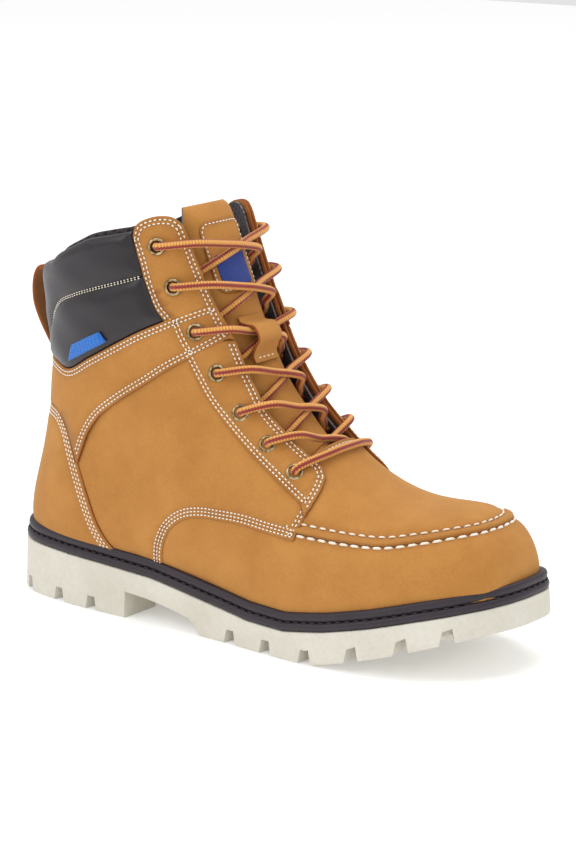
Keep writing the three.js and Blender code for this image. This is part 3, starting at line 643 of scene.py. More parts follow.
class Finishes:
    """Every material of the boot, made once."""

    def __init__(self) -> None:
        """Makes the materials."""
        # Oiled nubuck, buffed: a matt, faintly mottled wheat with a short nap that lightens at the edge.
        # Its burnish colour is the rust of the cut rims, and painted shade along the sunk stitch rows.
        self.nubuck = Grained("nubuck_oiled_buffed", "#ab7230", "#bd8440", 0.86, 0.5, 0.09, sheen=0.12,
                              sheen_tint="#ffe2b0", creases=0.3, burnish_and_groove_shade="#6e3612").build()
        # The same hide where it is cut: the darker, fibrous core shows as a rust line.
        self.raw_edge = Grained("nubuck_cut_edge", "#7a3a10", "#9c5420", 0.92, 0.7, 0.15).build()
        # Suede side of the pull loop: deeper brown with a long nap.
        self.suede = Grained("suede_strip", "#9a5f26", "#b8783a", 0.93, 0.8, 0.2, sheen=0.2).build()
        # Smooth corrected leather over foam: near black plum, with broad soft highlights.
        self.collar = Grained("smooth_leather_dyed_plum", "#171015", "#211920", 0.4, 0.9, 0.03,
                              coat=0.12, cells=True).build()
        # Nitrile rubber, moulded smooth: plum grey, soft sheen.
        self.dark_rubber = Grained("rubber_moulded_plum", "#241c23", "#30272f", 0.5, 1.2, 0.04).build()
        # Near-black thread for the welt: partly the thread, and partly painted shadow in the stitch slots.
        self.dark_thread_and_slot_shade = Grained("waxed_thread_dark_slot_shade", "#161216", "#241e24", 0.6, 0.4, 0.05).build()
        # Light rubber outsole, moulded against a pebbled tool: chalky cream.
        self.cream = Grained("rubber_moulded_cream", "#cbc6b8", "#d8d4c8", 0.72, 1.1, 0.16,
                             cells=True).build()
        # The notch recesses and the underside take a darker, duller copy of the cream: the darker colour is
        # painted shade.
        self.cream_recess_painted_shade = Grained("rubber_recess_painted_shade", "#a49a84", "#b4aa94", 0.82, 1.0, 0.1).build()
        # Bonded nylon thread, off white.
        self.thread = Grained("bonded_thread_white", "#e9ddc8", "#f6efe2", 0.62, 0.5, 0.08,
                              sheen=0.1).build()
        self.lining = Woven("knit_mesh_lining", "#17141a", "#453d40", 1.5, diagonal=True).build()
        self.knit = Woven("ribbed_knit_binding", "#3c3438", "#8a8086", 1.6).build()
        self.gusset = Woven("coated_nylon_gusset", "#141114", "#332c30", 1.0, roughness=0.4,
                            relief_mm=0.1).build()
        self.tape = Woven("woven_tape_blue", "#0a2468", "#173f9c", 0.7, roughness=0.6).build()
        self.tag = Woven("woven_tape_bright_blue", "#0856a4", "#0f70cc", 0.7, roughness=0.6).build()
        self.lace = Braided().build()
        # Antiqued brass, turned and tumbled: bright where it rubs, brown in the hollows.
        self.brass = Metal("brass_antiqued", "#6c5c40", "#c4b28c", 0.3).build()
        self.steel = Metal("carbon_steel_pressed", "#70767a", "#a8adb0", 0.38, 6.0).build()
        self.board = Grained("cellulose_board_pressed", "#7d6545", "#97805c", 0.95, 1.0, 0.1).build()
        self.plastic = Grained("thermoplastic_sheet", "#4c4c4c", "#606060", 0.6, 1.2, 0.03).build()
        self.film = Grained("shrunk_film_tip", "#3a322c", "#564c42", 0.3, 1.0, 0.02).build()
        self.footbed = Woven("brushed_textile_footbed", "#2a292d", "#4c4a50", 1.4).build()


# ---------------------------------------------------------------------------------------- foot form
STATIONS = np.array([
    # top x, z; bottom x, z; lateral and medial half width; widest; roundness above and below
    [306.3, 42, 306.5, 34, 1, 1, 0.45, 2.2, 2.2],
    [305.8, 50, 306, 26, 12, 12, 0.45, 2.2, 2.2],
    [304, 58.5, 304.5, 20, 20.5, 20, 0.48, 2.3, 2.3],
    [299.5, 66.5, 301, 14, 27, 26, 0.5, 2.5, 2.4],
    [292.5, 72.3, 293, 8, 33.5, 32, 0.5, 2.7, 2.4],
    [284, 75.6, 281, 0, 39.5, 38, 0.5, 2.8, 2.5],
    [273, 76.8, 265, -6, 44.7, 43, 0.5, 2.8, 2.5],
    [260, 76.6, 246, -10, 48.7, 46.5, 0.5, 2.6, 2.5],
    [247, 76.3, 222, -14, 51, 48, 0.5, 2.5, 2.5],
    [235, 78, 193, -14, 51.5, 47.5, 0.49, 2.4, 2.4],
    [223.5, 82, 160, -8, 50, 45, 0.47, 2.3, 2],
    [212, 88.5, 122, 0, 47.5, 41, 0.44, 2.3, 1.9],
    [202, 97, 80, 5, 45, 39, 0.43, 2.3, 1.9],
    [192.5, 107, 38, 8, 44, 38.5, 0.44, 2.3, 2.2],
    [183, 117.5, 12, 16, 42.5, 39, 0.46, 2.3, 2.35],
    [174, 126.5, 5.5, 36, 41, 39.5, 0.46, 2.3, 2.45],
    [166, 136.5, 11, 60, 40.5, 39.5, 0.46, 2.3, 2.35],
    [159, 149, 17, 85, 40.5, 40, 0.47, 2.3, 2.1],
    [152, 163, 21.5, 108, 40.5, 40.5, 0.48, 2.3, 2.1],
    [145.5, 178, 24, 130, 41, 41, 0.5, 2.3, 2.1],
    [139, 193, 23.5, 150, 41.5, 41.5, 0.5, 2.3, 2.1],
    [133, 208, 22.5, 169, 42, 42, 0.5, 2.3, 2.1],
    [128, 222, 21, 187, 42.5, 42.5, 0.5, 2.3, 2.1],
    [124, 236, 20, 203, 43, 43, 0.5, 2.3, 2.1],
])


class FootForm:
    """The lasted outside of the boot as a surface of two parameters, u along it and turn round it."""

    FLAT_RADIUS = 40.0  # millimetres round the form for each radian, near enough to lay it out flat

    def __init__(self) -> None:
        """Measures the run of the surface along its side."""
        self.last = len(STATIONS) - 1
        marks = np.linspace(0.0, self.last, 240)
        side = self.point(marks, np.full_like(marks, 0.5 * math.pi))
        self._marks = marks
        self._run = lengths(side)

    def section(self, u: Array) -> Array:
        """Reads the stations with a uniform cubic B-spline.

        Args:
            u: Station numbers, whole or not.

        Returns:
            One row of section sizes for each u.
        """
        u = np.clip(np.asarray(u, float), 0.0, self.last - 1e-9)
        i = np.floor(u).astype(int)
        t = (u - i)[..., None]
        weights = [(1 - t) ** 3, 3 * t**3 - 6 * t * t + 4, -3 * t**3 + 3 * t * t + 3 * t + 1, t**3]
        rows = [STATIONS[np.clip(i + k, 0, self.last)] for k in (-1, 0, 1, 2)]
        return sum(w * r for w, r in zip(weights, rows)) / 6.0

    def point(self, u: Array, turn: Array) -> Array:
        """Points of the surface.

        Args:
            u: Station numbers.
            turn: Angle round the section: 0 instep, half pi lateral, pi back, one and a half pi medial.

        Returns:
            Points in pattern millimetres.
        """
        tx, tz, bx, bz, wl, wm, widest, n, m = np.moveaxis(self.section(u), -1, 0)
        q = (1.0 - np.cos(turn)) / 2.0
        upper = np.clip(1.0 - q / widest, 0.0, 1.0)
        lower = np.clip((q - widest) / (1.0 - widest), 0.0, 1.0)
        above = np.clip(1 - upper**n, 0, 1) ** (1 / n)
        below = np.clip(1 - lower**m, 0, 1) ** (1 / m)
        rise = np.where(q < widest, above, below)
        y = np.where(np.sin(turn) >= 0.0, -wl, wm) * rise
        return np.stack([tx + q * (bx - tx), y, tz + q * (bz - tz)], axis=-1)

    def frame(self, u: Array, turn: Array) -> tuple[Array, Array, Array]:
        """The surface's derivatives and outward normal.

        Args:
            u: Station numbers.
            turn: Angles round the section.

        Returns:
            The derivative along u, the derivative along turn, and the unit normal.
        """
        d = 0.02
        ahead, behind = np.minimum(u + d, self.last), np.maximum(u - d, 0.0)
        along = (self.point(ahead, turn) - self.point(behind, turn)) / (2 * d)
        around = (self.point(u, turn + d) - self.point(u, turn - d)) / (2 * d)
        normal = np.cross(along, around)
        return along, around, normal / np.maximum(np.linalg.norm(normal, axis=-1, keepdims=True), 1e-9)

    def at(self, params: Array) -> Array:
        """Points of the surface under rows of parameters.

        Args:
            params: Rows of station number and angle.

        Returns:
            Points in pattern millimetres.
        """
        return self.point(params[:, 0], params[:, 1])

    def normal(self, params: Array) -> Array:
        """Outward unit normals under rows of parameters.

        Args:
            params: Rows of station number and angle.

        Returns:
            One unit normal for each row.
        """
        return self.frame(params[:, 0], params[:, 1])[2]

    def lifted(self, u: Array, turn: Array, offset: Array) -> Array:
        """Points at a height over the surface.

        Args:
            u: Station numbers.
            turn: Angles round the section.
            offset: Height over the surface in millimetres.

        Returns:
            Points in pattern millimetres.
        """
        normal = self.frame(u, turn)[2]
        return self.point(u, turn) + normal * np.asarray(offset, float)[..., None]

    def locate(self, x: Array, z: Array) -> tuple[Array, Array]:
        """Finds the section that passes through side-view points.

        Args:
            x: Side-view x of the points.
            z: Side-view z of the points.

        Returns:
            The station number of each point, and its share of the section, outside 0 to 1 off the form.
        """
        x, z = np.asarray(x, float), np.asarray(z, float)

        def miss(u: Array) -> Array:
            """Which side of the section at u each point lies on."""
            s = self.section(u)
            return (x - s[..., 0]) * (s[..., 3] - s[..., 1]) - (z - s[..., 1]) * (s[..., 2] - s[..., 0])

        low, high = np.full_like(x, 0.02), np.full_like(x, self.last - 0.01)
        start = np.sign(miss(low))
        past_toe = (np.sign(miss(high)) == start) & (x > 250.0)
        for _ in range(40):
            middle = (low + high) / 2.0
            same = np.sign(miss(middle)) == start
            low, high = np.where(same, middle, low), np.where(same, high, middle)
        low = np.where(past_toe, 0.02, low)
        s = self.section(low)
        ax, az = s[..., 2] - s[..., 0], s[..., 3] - s[..., 1]
        return low, ((x - s[..., 0]) * ax + (z - s[..., 1]) * az) / (ax**2 + az**2)

    def trace(self, line: Array, side: Side, wrap: Wrap = Wrap.BACK) -> Array:
        """Lays a side-view line on one side of the form, cut where it leaves the silhouette.

        Args:
            line: Side-view x and z of the line's points.
            side: The side of the boot.
            wrap: How medial angles are counted.

        Returns:
            Rows of station number and angle.
        """
        u, q = self.locate(line[:, 0], line[:, 1])
        on = (q > 0.0) & (q < 1.0)
        rows = []
        for k in range(len(line)):
            if k and on[k] != on[k - 1]:
                edge = 0.0 if min(q[k], q[k - 1]) <= 0.0 else 1.0
                t = (edge - q[k - 1]) / (q[k] - q[k - 1])
                rows.append([u[k - 1] + t * (u[k] - u[k - 1]), edge])
            if on[k]:
                rows.append([u[k], q[k]])
        out = np.array(rows)
        out[:, 1] = np.arccos(np.clip(1.0 - 2.0 * out[:, 1], -1.0, 1.0))
        if side is Side.MEDIAL:
            out[:, 1] = -out[:, 1] if wrap is Wrap.INSTEP else TAU - out[:, 1]
        return out

    def flat(self, params: Array) -> Array:
        """Lays parameters out flat at about true size.

        Args:
            params: Rows of station number and angle.

        Returns:
            Rows of millimetres round and along the form.
        """
        run = np.interp(params[:, 0], self._marks, self._run)
        return np.stack([params[:, 1] * self.FLAT_RADIUS, run], axis=1)

    def unflat(self, laid: Array) -> Array:
        """The reverse of flat.

        Args:
            laid: Rows of millimetres round and along the form.

        Returns:
            Rows of station number and angle.
        """
        stations = np.interp(laid[:, 1], self._run, self._marks)
        return np.stack([stations, laid[:, 0] / self.FLAT_RADIUS], axis=1)

    def beside(self, line: Array, distance: float, closed: bool = False) -> Array:
        """Moves a line across the surface, at right angles to itself.

        Args:
            line: Rows of station number and angle.
            distance: How far, in millimetres, positive to the left of the way it runs.
            closed: Whether the last point joins the first.

        Returns:
            The moved line's rows.
        """
        along, around, normal = self.frame(line[:, 0], line[:, 1])
        spots = self.point(line[:, 0], line[:, 1])
        if closed:
            way = np.roll(spots, -1, axis=0) - np.roll(spots, 1, axis=0)
        else:
            way = np.gradient(spots, axis=0)
        way /= np.maximum(np.linalg.norm(way, axis=1, keepdims=True), 1e-9)
        move = np.cross(normal, way) * distance
        aa, ab, bb = (along**2).sum(1), (along * around).sum(1), (around**2).sum(1)
        pa, pb = (move * along).sum(1), (move * around).sum(1)
        det = np.maximum(aa * bb - ab * ab, 1e-9)
        step = np.stack([(pa * bb - pb * ab) / det, (pb * aa - pa * ab) / det], axis=1)
        return line + step


FORM = FootForm()


# ------------------------------------------------------------------------------------ pattern lines
class Pattern:
    """Side-view lines of the upper, in pattern millimetres."""

    throat_edge = [[121, 207], [130, 186], [135, 175], [143, 159], [149, 150], [155, 138], [161, 128],
                   [169, 117], [179, 108], [193, 97], [201, 91.5], [206, 86.5]]
    front_edge = [[206, 86.5], [207.4, 81], [206.8, 76], [205, 70], [203.3, 64.5], [202, 59]]
    eyestay_back = [[98, 199], [102, 188], [106, 175], [111, 164], [116, 158.5]]
    eyestay_low = [[122, 150], [129, 139], [134.5, 130], [142, 119], [154, 107], [170, 94.5], [187, 83.5],
                   [201.5, 75]]
    tab_top = [[98, 199], [100, 206], [105, 209.5], [111, 211], [116.5, 210.5], [121, 207]]
    collar_low = [[28, 129], [40, 127.5], [52, 126], [69, 134.5], [85, 143], [102, 152], [116, 158.5]]
    collar_seam = [[31, 129], [33, 140], [39, 152], [48, 161], [59, 166], [75, 171.5], [90, 176],
                   [104.5, 180.5]]
    collar_rim = [[5, 176], [22, 177], [41, 181], [50, 187], [63, 193], [72, 197], [85, 200], [98, 203]]
    band_low = [[146, 151], [139, 146], [130, 140.5], [119, 134], [108, 126.5], [89, 114.5], [75, 104],
                [67, 94], [62, 83], [59.5, 77]]
    heel_line = [[18, 103], [30, 103], [41, 102], [50, 95], [57, 82], [62, 71], [68, 57.5], [73, 47],
                 [79, 38.5], [88, 30]]
    quarter_front = [[114, 20], [116, 34], [119, 44], [124.5, 53], [133, 59], [143, 61.5], [156, 62],
                     [169, 62], [185, 60.5], [202, 59]]
    moc_seam = [[196, 63], [203, 62.8], [230, 62], [251, 63], [270, 67], [286, 70.5], [297, 71.7], [306, 72]]
    apron_back = [[200, 125], [199.4, 104], [194, 95], [190.5, 88], [192, 77], [196, 63]]
    eyelets = [[111, 196], [120, 176], [132, 154], [144, 134], [158, 115], [175, 101], [192, 89]]
    sole_top = [[-20, 28], [0, 28], [40, 27], [73, 26], [108, 24], [145, 18.5], [175, 14.4], [200, 14],
                [225, 18], [250, 23.5], [275, 30], [295, 34.5], [312, 38], [330, 41]]
    sole_outline = [
        [0, 0], [2.5, -12], [8, -22], [20, -31.5], [40, -37.5], [62, -41], [92, -43], [120, -44.5],
        [160, -48.5], [190, -53], [215, -55.5], [240, -55], [262, -51.5], [281, -45], [296, -34.5],
        [306, -22], [311, -8.5], [312, 5], [310.5, 19], [302, 32], [283, 42], [264, 49.5], [240, 52.5],
        [216, 52], [192, 48.5], [160, 42.5], [130, 39], [100, 38], [70, 38], [42, 36.5], [22, 31.5],
        [8, 21], [2.5, 11]]

    @classmethod
    def feather(cls, height: float) -> Array:
        """The line where the upper goes behind the rand.

        Args:
            height: Millimetres over the outsole's top.

        Returns:
            Side-view points from heel to toe.
        """
        line = spline(cls.sole_top, 2.0)
        return line + np.array([0.0, height])

    @staticmethod
    def join(*parts: Sequence[Sequence[float]]) -> Array:
        """Joins side-view lines end to end, each one smoothed by itself.

        Args:
            *parts: Lines in the order in which the outline runs.

        Returns:
            One polyline, with corners where the parts meet.
        """
        return np.vstack([spline(p, 1.2) if len(p) > 2 else respaced(np.asarray(p, float), 1.2)
                          for p in parts])


def drawn(points: Sequence[Sequence[float]], side: Side, step: float = 1.0) -> Array:
    """Draws a smooth side-view line on one side of the form.

    Args:
        points: Side-view points that the line passes.
        side: The side of the boot.
        step: Spacing of the line's points.

    Returns:
        Rows of station number and angle.
    """
    return FORM.trace(spline(points, step), side)


# ------------------------------------------------------------------------------------ sewn panels
@dataclass
class StitchRow:
    """One row of stitches beside a line of the form; without a path it only carries the sizes."""

    path: Optional[Array]
    pitch: float = 2.5
    length: float = 1.75
    radius: float = 0.34
    sink: float = 0.26


@dataclass
class Panel:
    """A closed leather or textile shell cut from the form."""

    name: str
    outline: Array
    base: float
    thickness: float
    rounding: float = 0.7
    rows: list[StitchRow] = field(default_factory=list)
    holes: list[Array] = field(default_factory=list)
    relief: Optional[Callable[[Array, Array, Array, Array], Array]] = None
    grid: float = 2.8
    fade: Optional[Callable[[Array], Array]] = None

    def _cull(self, laid: Array, others: Array, gap: float) -> Array:
        """Drops points that crowd others.

        Args:
            laid: Flat points to thin.
            others: Flat points to keep clear of.
            gap: The least distance.

        Returns:
            The points that stay.
        """
        keep = np.ones(len(laid), bool)
        for start in range(0, len(laid), 2000):
            part = laid[start : start + 2000]
            keep[start : start + 2000] = (np.linalg.norm(part[:, None] - others[None], axis=2).min(1)) > gap
        return laid[keep]

    def _samples(self, rim: Array) -> Array:
        """Chooses the flat points inside the outline.

        Args:
            rim: The flat outline.

        Returns:
            Flat points: rings near the rim, lines at the stitch rows, and a grid elsewhere.
        """
        chosen = [rim]
        params = FORM.unflat(rim)
        left = FORM.flat(FORM.beside(params, 0.5, closed=True))
        sign = 1.0 if inside(left, rim).mean() > 0.5 else -1.0
        for distance in [share * self.rounding for share in (0.3, 0.75, 1.5, 3.0)]:
            ring = FORM.flat(FORM.beside(params, sign * distance, closed=True))
            ring = ring[inside(ring, rim)]
            ring = ring[polyline_distance(ring, rim, closed=True) > 0.6 * distance]
            if len(ring):
                chosen.append(self._cull(ring, np.vstack(chosen), min(0.35 * self.rounding + 0.08, 0.5)))
        for row in self.rows:
            for aside in (-0.6, 0.0, 0.6):
                line = FORM.flat(FORM.beside(row.path, aside))
                line = respaced(line, RIM_STEP)
                line = line[inside(line, rim)]
                if len(line):
                    chosen.append(self._cull(line, np.vstack(chosen), 0.42))
        low, high = rim.min(0), rim.max(0)
        xs = np.arange(low[0], high[0], self.grid)
        ys = np.arange(low[1], high[1], self.grid * 0.87)
        gx, gy = np.meshgrid(xs, ys)
        gx = gx + (np.arange(len(ys)) % 2)[:, None] * self.grid * 0.5
        cells = np.stack([gx.ravel(), gy.ravel()], axis=1)
        cells = cells[inside(cells, rim)]
        chosen.append(self._cull(cells, np.vstack(chosen), 0.62 * self.grid))
        return np.vstack(chosen)

    def build(self) -> bpy.types.Object:
        """Triangulates the panel and closes it into a shell.

        Returns:
            The new object, its top faces on material 0 and its cut edge on material 1.
        """
        rim = respaced(FORM.flat(self.outline), RIM_STEP, closed=True)
        laid = self._samples(rim)
        edges = [(k, (k + 1) % len(rim)) for k in range(len(rim))]
        loops = [FORM.flat(h) for h in self.holes]
        for loop in loops:
            centre, size = loop.mean(0), np.linalg.norm(loop - loop.mean(0), axis=1).mean()
            away = np.linalg.norm(laid - centre, axis=1) > 1.12 * size
            away[: len(rim)] = True
            laid = laid[away]
        for loop in loops:
            first = len(laid)
            edges += [(first + k, first + (k + 1) % len(loop)) for k in range(len(loop))]
            laid = np.vstack([laid, loop])
        kind = 2 if loops else 1
        made = delaunay_2d_cdt([Vector(p) for p in laid], edges, [], kind, 1e-5)
        flat_points = np.array([tuple(v) for v in made[0]])
        faces = np.array([list(f) for f in made[2]])
        params = FORM.unflat(flat_points)
        spots = FORM.at(params)
        normal = FORM.normal(params)
        rim_params = FORM.unflat(rim)
        rim_spots = FORM.at(rim_params)
        distance = polyline_distance(spots, rim_spots, closed=True)
        for hole in self.holes:
            hole_spots = FORM.at(hole)
            distance = np.minimum(distance, polyline_distance(spots, hole_spots, closed=True) + 0.25)
        near = np.clip(distance / self.rounding, 0.0, 1.0)
        height = self.thickness - self.rounding * (1.0 - np.sqrt(np.clip(1.0 - (1.0 - near) ** 2, 0.0, 1.0)))
        to_rows = [polyline_distance(spots, FORM.at(row.path)) for row in self.rows]
        for row, away in zip(self.rows, to_rows):
            height = height - row.sink * np.exp(-((away / 0.62) ** 2))
        if self.relief is not None:
            height = height + self.relief(spots, params, distance, normal)
        base = np.full(len(spots), self.base)
        if self.fade is not None:
            base = base + self.fade(spots)
        top = spots + normal * (base + height)[:, None]
        under = spots + normal * (base - 0.05)[:, None]
        first = spots[faces]
        facing = np.cross(first[:, 1] - first[:, 0], first[:, 2] - first[:, 0])
        flip = (facing * normal[faces[:, 0]]).sum(1) < 0
        faces[flip] = faces[flip][:, ::-1]
        count = len(spots)
        used = {}
        for face in faces:
            for k in range(3):
                a, b = int(face[k]), int(face[(k + 1) % 3])
                used[(a, b)] = used.get((a, b), 0) + 1
        border = [(a, b) for (a, b) in used if (b, a) not in used]
        walls = [(b, a, a + count, b + count) for a, b in border]
        all_faces = [tuple(f) for f in faces] + [tuple(f[::-1] + count) for f in faces] + walls
        # Near the rim the burnish marks the rust cut edge; along the stitch rows it is painted shade in the
        # sunk seams.
        burnish_and_groove_shade = 0.55 * np.exp(-((distance / 0.9) ** 2))
        for away in to_rows:
            burnish_and_groove_shade = np.maximum(burnish_and_groove_shade, np.exp(-((away / 0.5) ** 2)))
        edge_face = (distance[faces].max(1) < 0.32 * self.rounding + 0.05).astype(int)
        slots = list(edge_face) + [0] * len(faces) + [1] * len(walls)
        uvs = np.vstack([flat_points, flat_points]) * MM
        piece = mesh_object(self.name, np.vstack([top, under]), all_faces, uvs, slots)
        shade = piece.data.attributes.new("burnish_and_groove_shade", "FLOAT", "POINT")
        shade.data.foreach_set("value", np.concatenate([burnish_and_groove_shade, burnish_and_groove_shade]).astype(np.float32))
        return piece

    def top_over(self, path: Array) -> Array:
        """Points of the panel's face under a line.

        Args:
            path: Rows of station number and angle.

        Returns:
            Points in pattern millimetres.
        """
        lift = self.base + self.thickness
        spots = FORM.lifted(path[:, 0], path[:, 1], np.full(len(path), lift))
        if self.fade is not None:
            normal = FORM.normal(path)
            spots = spots + normal * self.fade(FORM.at(path))[:, None]
        if self.relief is not None:
            normal = FORM.normal(path)
            base_spots = FORM.at(path)
            rim_params = FORM.unflat(respaced(FORM.flat(self.outline), RIM_STEP, closed=True))
            rim_spots = FORM.at(rim_params)
            distance = polyline_distance(base_spots, rim_spots, closed=True)
            spots = spots + normal * self.relief(base_spots, path, distance, normal)[:, None]
        return spots


def stitches(name: str, routes: Sequence[tuple[Array, Array, StitchRow]]) -> Optional[bpy.types.Object]:
    """Makes the stitches of one panel as small plump capsules of thread.

    Args:
        name: The new object's name.
        routes: For each row, the points that it follows, the normals there, and the row's sizes.

    Returns:
        The new object, or None if no row is long enough.
    """
    rings, sides = 5, 6
    points, faces = [], []
    for line, normals, row in routes:
        run = lengths(line)
        if len(line) < 3 or run[-1] < row.pitch * 1.5:
            continue
        count = int(run[-1] // row.pitch)
        starts = (np.arange(count) + 0.5) * (run[-1] / count)
        for centre in starts:
            marks = centre + np.linspace(-0.5, 0.5, rings) * row.length
            spine = np.stack([np.interp(marks, run, line[:, k]) for k in range(3)], axis=1)
            up = np.stack([np.interp(marks, run, normals[:, k]) for k in range(3)], axis=1)
            up /= np.linalg.norm(up, axis=1, keepdims=True)
            share = np.linspace(-1.0, 1.0, rings)
            spine = spine + up * (row.radius * (0.55 - 0.95 * share[:, None] ** 4) - 0.5 * row.sink)
            way = np.gradient(spine, axis=0)
            way /= np.maximum(np.linalg.norm(way, axis=1, keepdims=True), 1e-9)
            across = np.cross(way, up)
            across /= np.maximum(np.linalg.norm(across, axis=1, keepdims=True), 1e-9)
            lift = np.cross(across, way)
            girth = row.radius * np.sqrt(np.clip(1.05 - share**4, 0.1, 1.0))
            first = len(points)
            for r in range(rings):
                for k in range(sides):
                    a = TAU * k / sides
                    away = math.cos(a) * across[r] * 1.15 + math.sin(a) * lift[r]
                    points.append(spine[r] + girth[r] * away)
            faces += tube_faces(rings, sides, first)
    if not points:
        return None
    return mesh_object(name, np.array(points), faces)


class Workshop:
    """Builds panels with their stitches and dresses them."""

    def __init__(self, finishes: Finishes) -> None:
        """Keeps the finishes.

        Args:
            finishes: The boot's materials.
        """
        self.finishes = finishes

    def trimmed(self, path: Array, rim: Array, margin: float) -> list[Array]:
        """Keeps the stretches of a row that lie on the panel.

        Args:
            path: Rows of station number and angle.
            rim: The panel's outline, the same way.
            margin: How far a stitch stays from the rim, in millimetres.

        Returns:
            The stretches that stay.
        """
        away = polyline_distance(FORM.at(path), FORM.at(rim), closed=True)
        ok = inside(FORM.flat(path), FORM.flat(rim)) & (away > margin)
        parts, run = [], []
        for k, good in enumerate(ok):
            if good:
                run.append(path[k])
            elif run:
                parts.append(np.array(run))
                run = []
        if run:
            parts.append(np.array(run))
        return [p for p in parts if len(p) > 4]

    def rows_beside(self, line: Array, distances: Sequence[float], rim: Array,
                    like: StitchRow) -> list[StitchRow]:
        """Rows of stitches beside one edge, on the panel's side of it.

        Args:
            line: The edge, as rows of station number and angle.
            distances: How far in each row lies.
            rim: The panel's outline.
            like: A row whose sizes are copied.

        Returns:
            The rows that fit on the panel.
        """
        edge = FORM.flat(rim)
        out = []
        for distance in distances:
            sides = [FORM.beside(line, sign * distance) for sign in (1.0, -1.0)]
            shares = [inside(FORM.flat(s), edge).mean() for s in sides]
            chosen = sides[int(np.argmax(shares))]
            laid = respaced(FORM.flat(chosen), 1.0)
            for part in self.trimmed(FORM.unflat(laid), rim, min(distance, 1.6) * 0.72):
                out.append(replace(like, path=part))
        return out

    def make(self, panel: Panel, materials: Sequence[bpy.types.Material], slot: str, replaces: Sequence[str],
             thread: Optional[bpy.types.Material] = None, body: str = "boot") -> bpy.types.Object:
        """Builds a panel and its stitches.

        Args:
            panel: The panel.
            materials: Face and cut edge.
            slot: Name of the material slot; not used.
            replaces: CAD nodes that it stands for.
            thread: The stitches' material; the white thread if None.
            body: The CAD body that it rides on.

        Returns:
            The panel's object.
        """
        piece = dress(panel.build(), materials, body, replaces)
        routes = []
        for row in panel.rows:
            normal = FORM.normal(row.path)
            routes.append((panel.top_over(row.path), normal, row))
        sewn = stitches(f"{panel.name}_stitches", routes)
        if sewn is not None:
            dress(sewn, [thread or self.finishes.thread], body)
        LOG.info("%s: %d faces", panel.name, len(piece.data.polygons))
        return piece


def closed_loop(*parts: Array) -> Array:
    """Joins parameter lines into one outline.

    Args:
        *parts: Rows of station number and angle, in order.

    Returns:
        The outline without doubled points.
    """
    line = np.vstack(parts)
    laid = FORM.flat(line)
    keep = np.linalg.norm(laid - np.roll(laid, 1, axis=0), axis=1) > 0.05
    return line[keep]


def eyelet_holes(side: Side, rows: Sequence[int], radius: float, wrap: Wrap = Wrap.BACK) -> list[Array]:
    """Round holes at eyelets.

    Args:
        side: The side of the boot.
        rows: Row numbers from the top, 0 first.
        radius: The hole's radius in millimetres.
        wrap: How medial angles are counted.

    Returns:
        One loop of parameters for each row.
    """
    out = []
    for row in rows:
        x, z = Pattern.eyelets[row]
        u, q = FORM.locate(np.array([x]), np.array([z]))
        turn = math.acos(1.0 - 2.0 * q[0])
        if side is Side.MEDIAL:
            turn = -turn if wrap is Wrap.INSTEP else TAU - turn
        spot = np.array([[u[0], turn]])
        along, around, _ = FORM.frame(spot[:, 0], spot[:, 1])
        a, b = np.linalg.norm(along[0]), np.linalg.norm(around[0])
        skew = float(along[0] @ around[0]) / (a * b)
        angles = np.linspace(0.0, TAU, 20, endpoint=False)
        du = radius * np.cos(angles) / a
        dt = (radius * np.sin(angles) - skew * radius * np.cos(angles)) / (b * math.sqrt(1 - skew * skew))
        out.append(spot + np.stack([du, dt], axis=1))
    return out


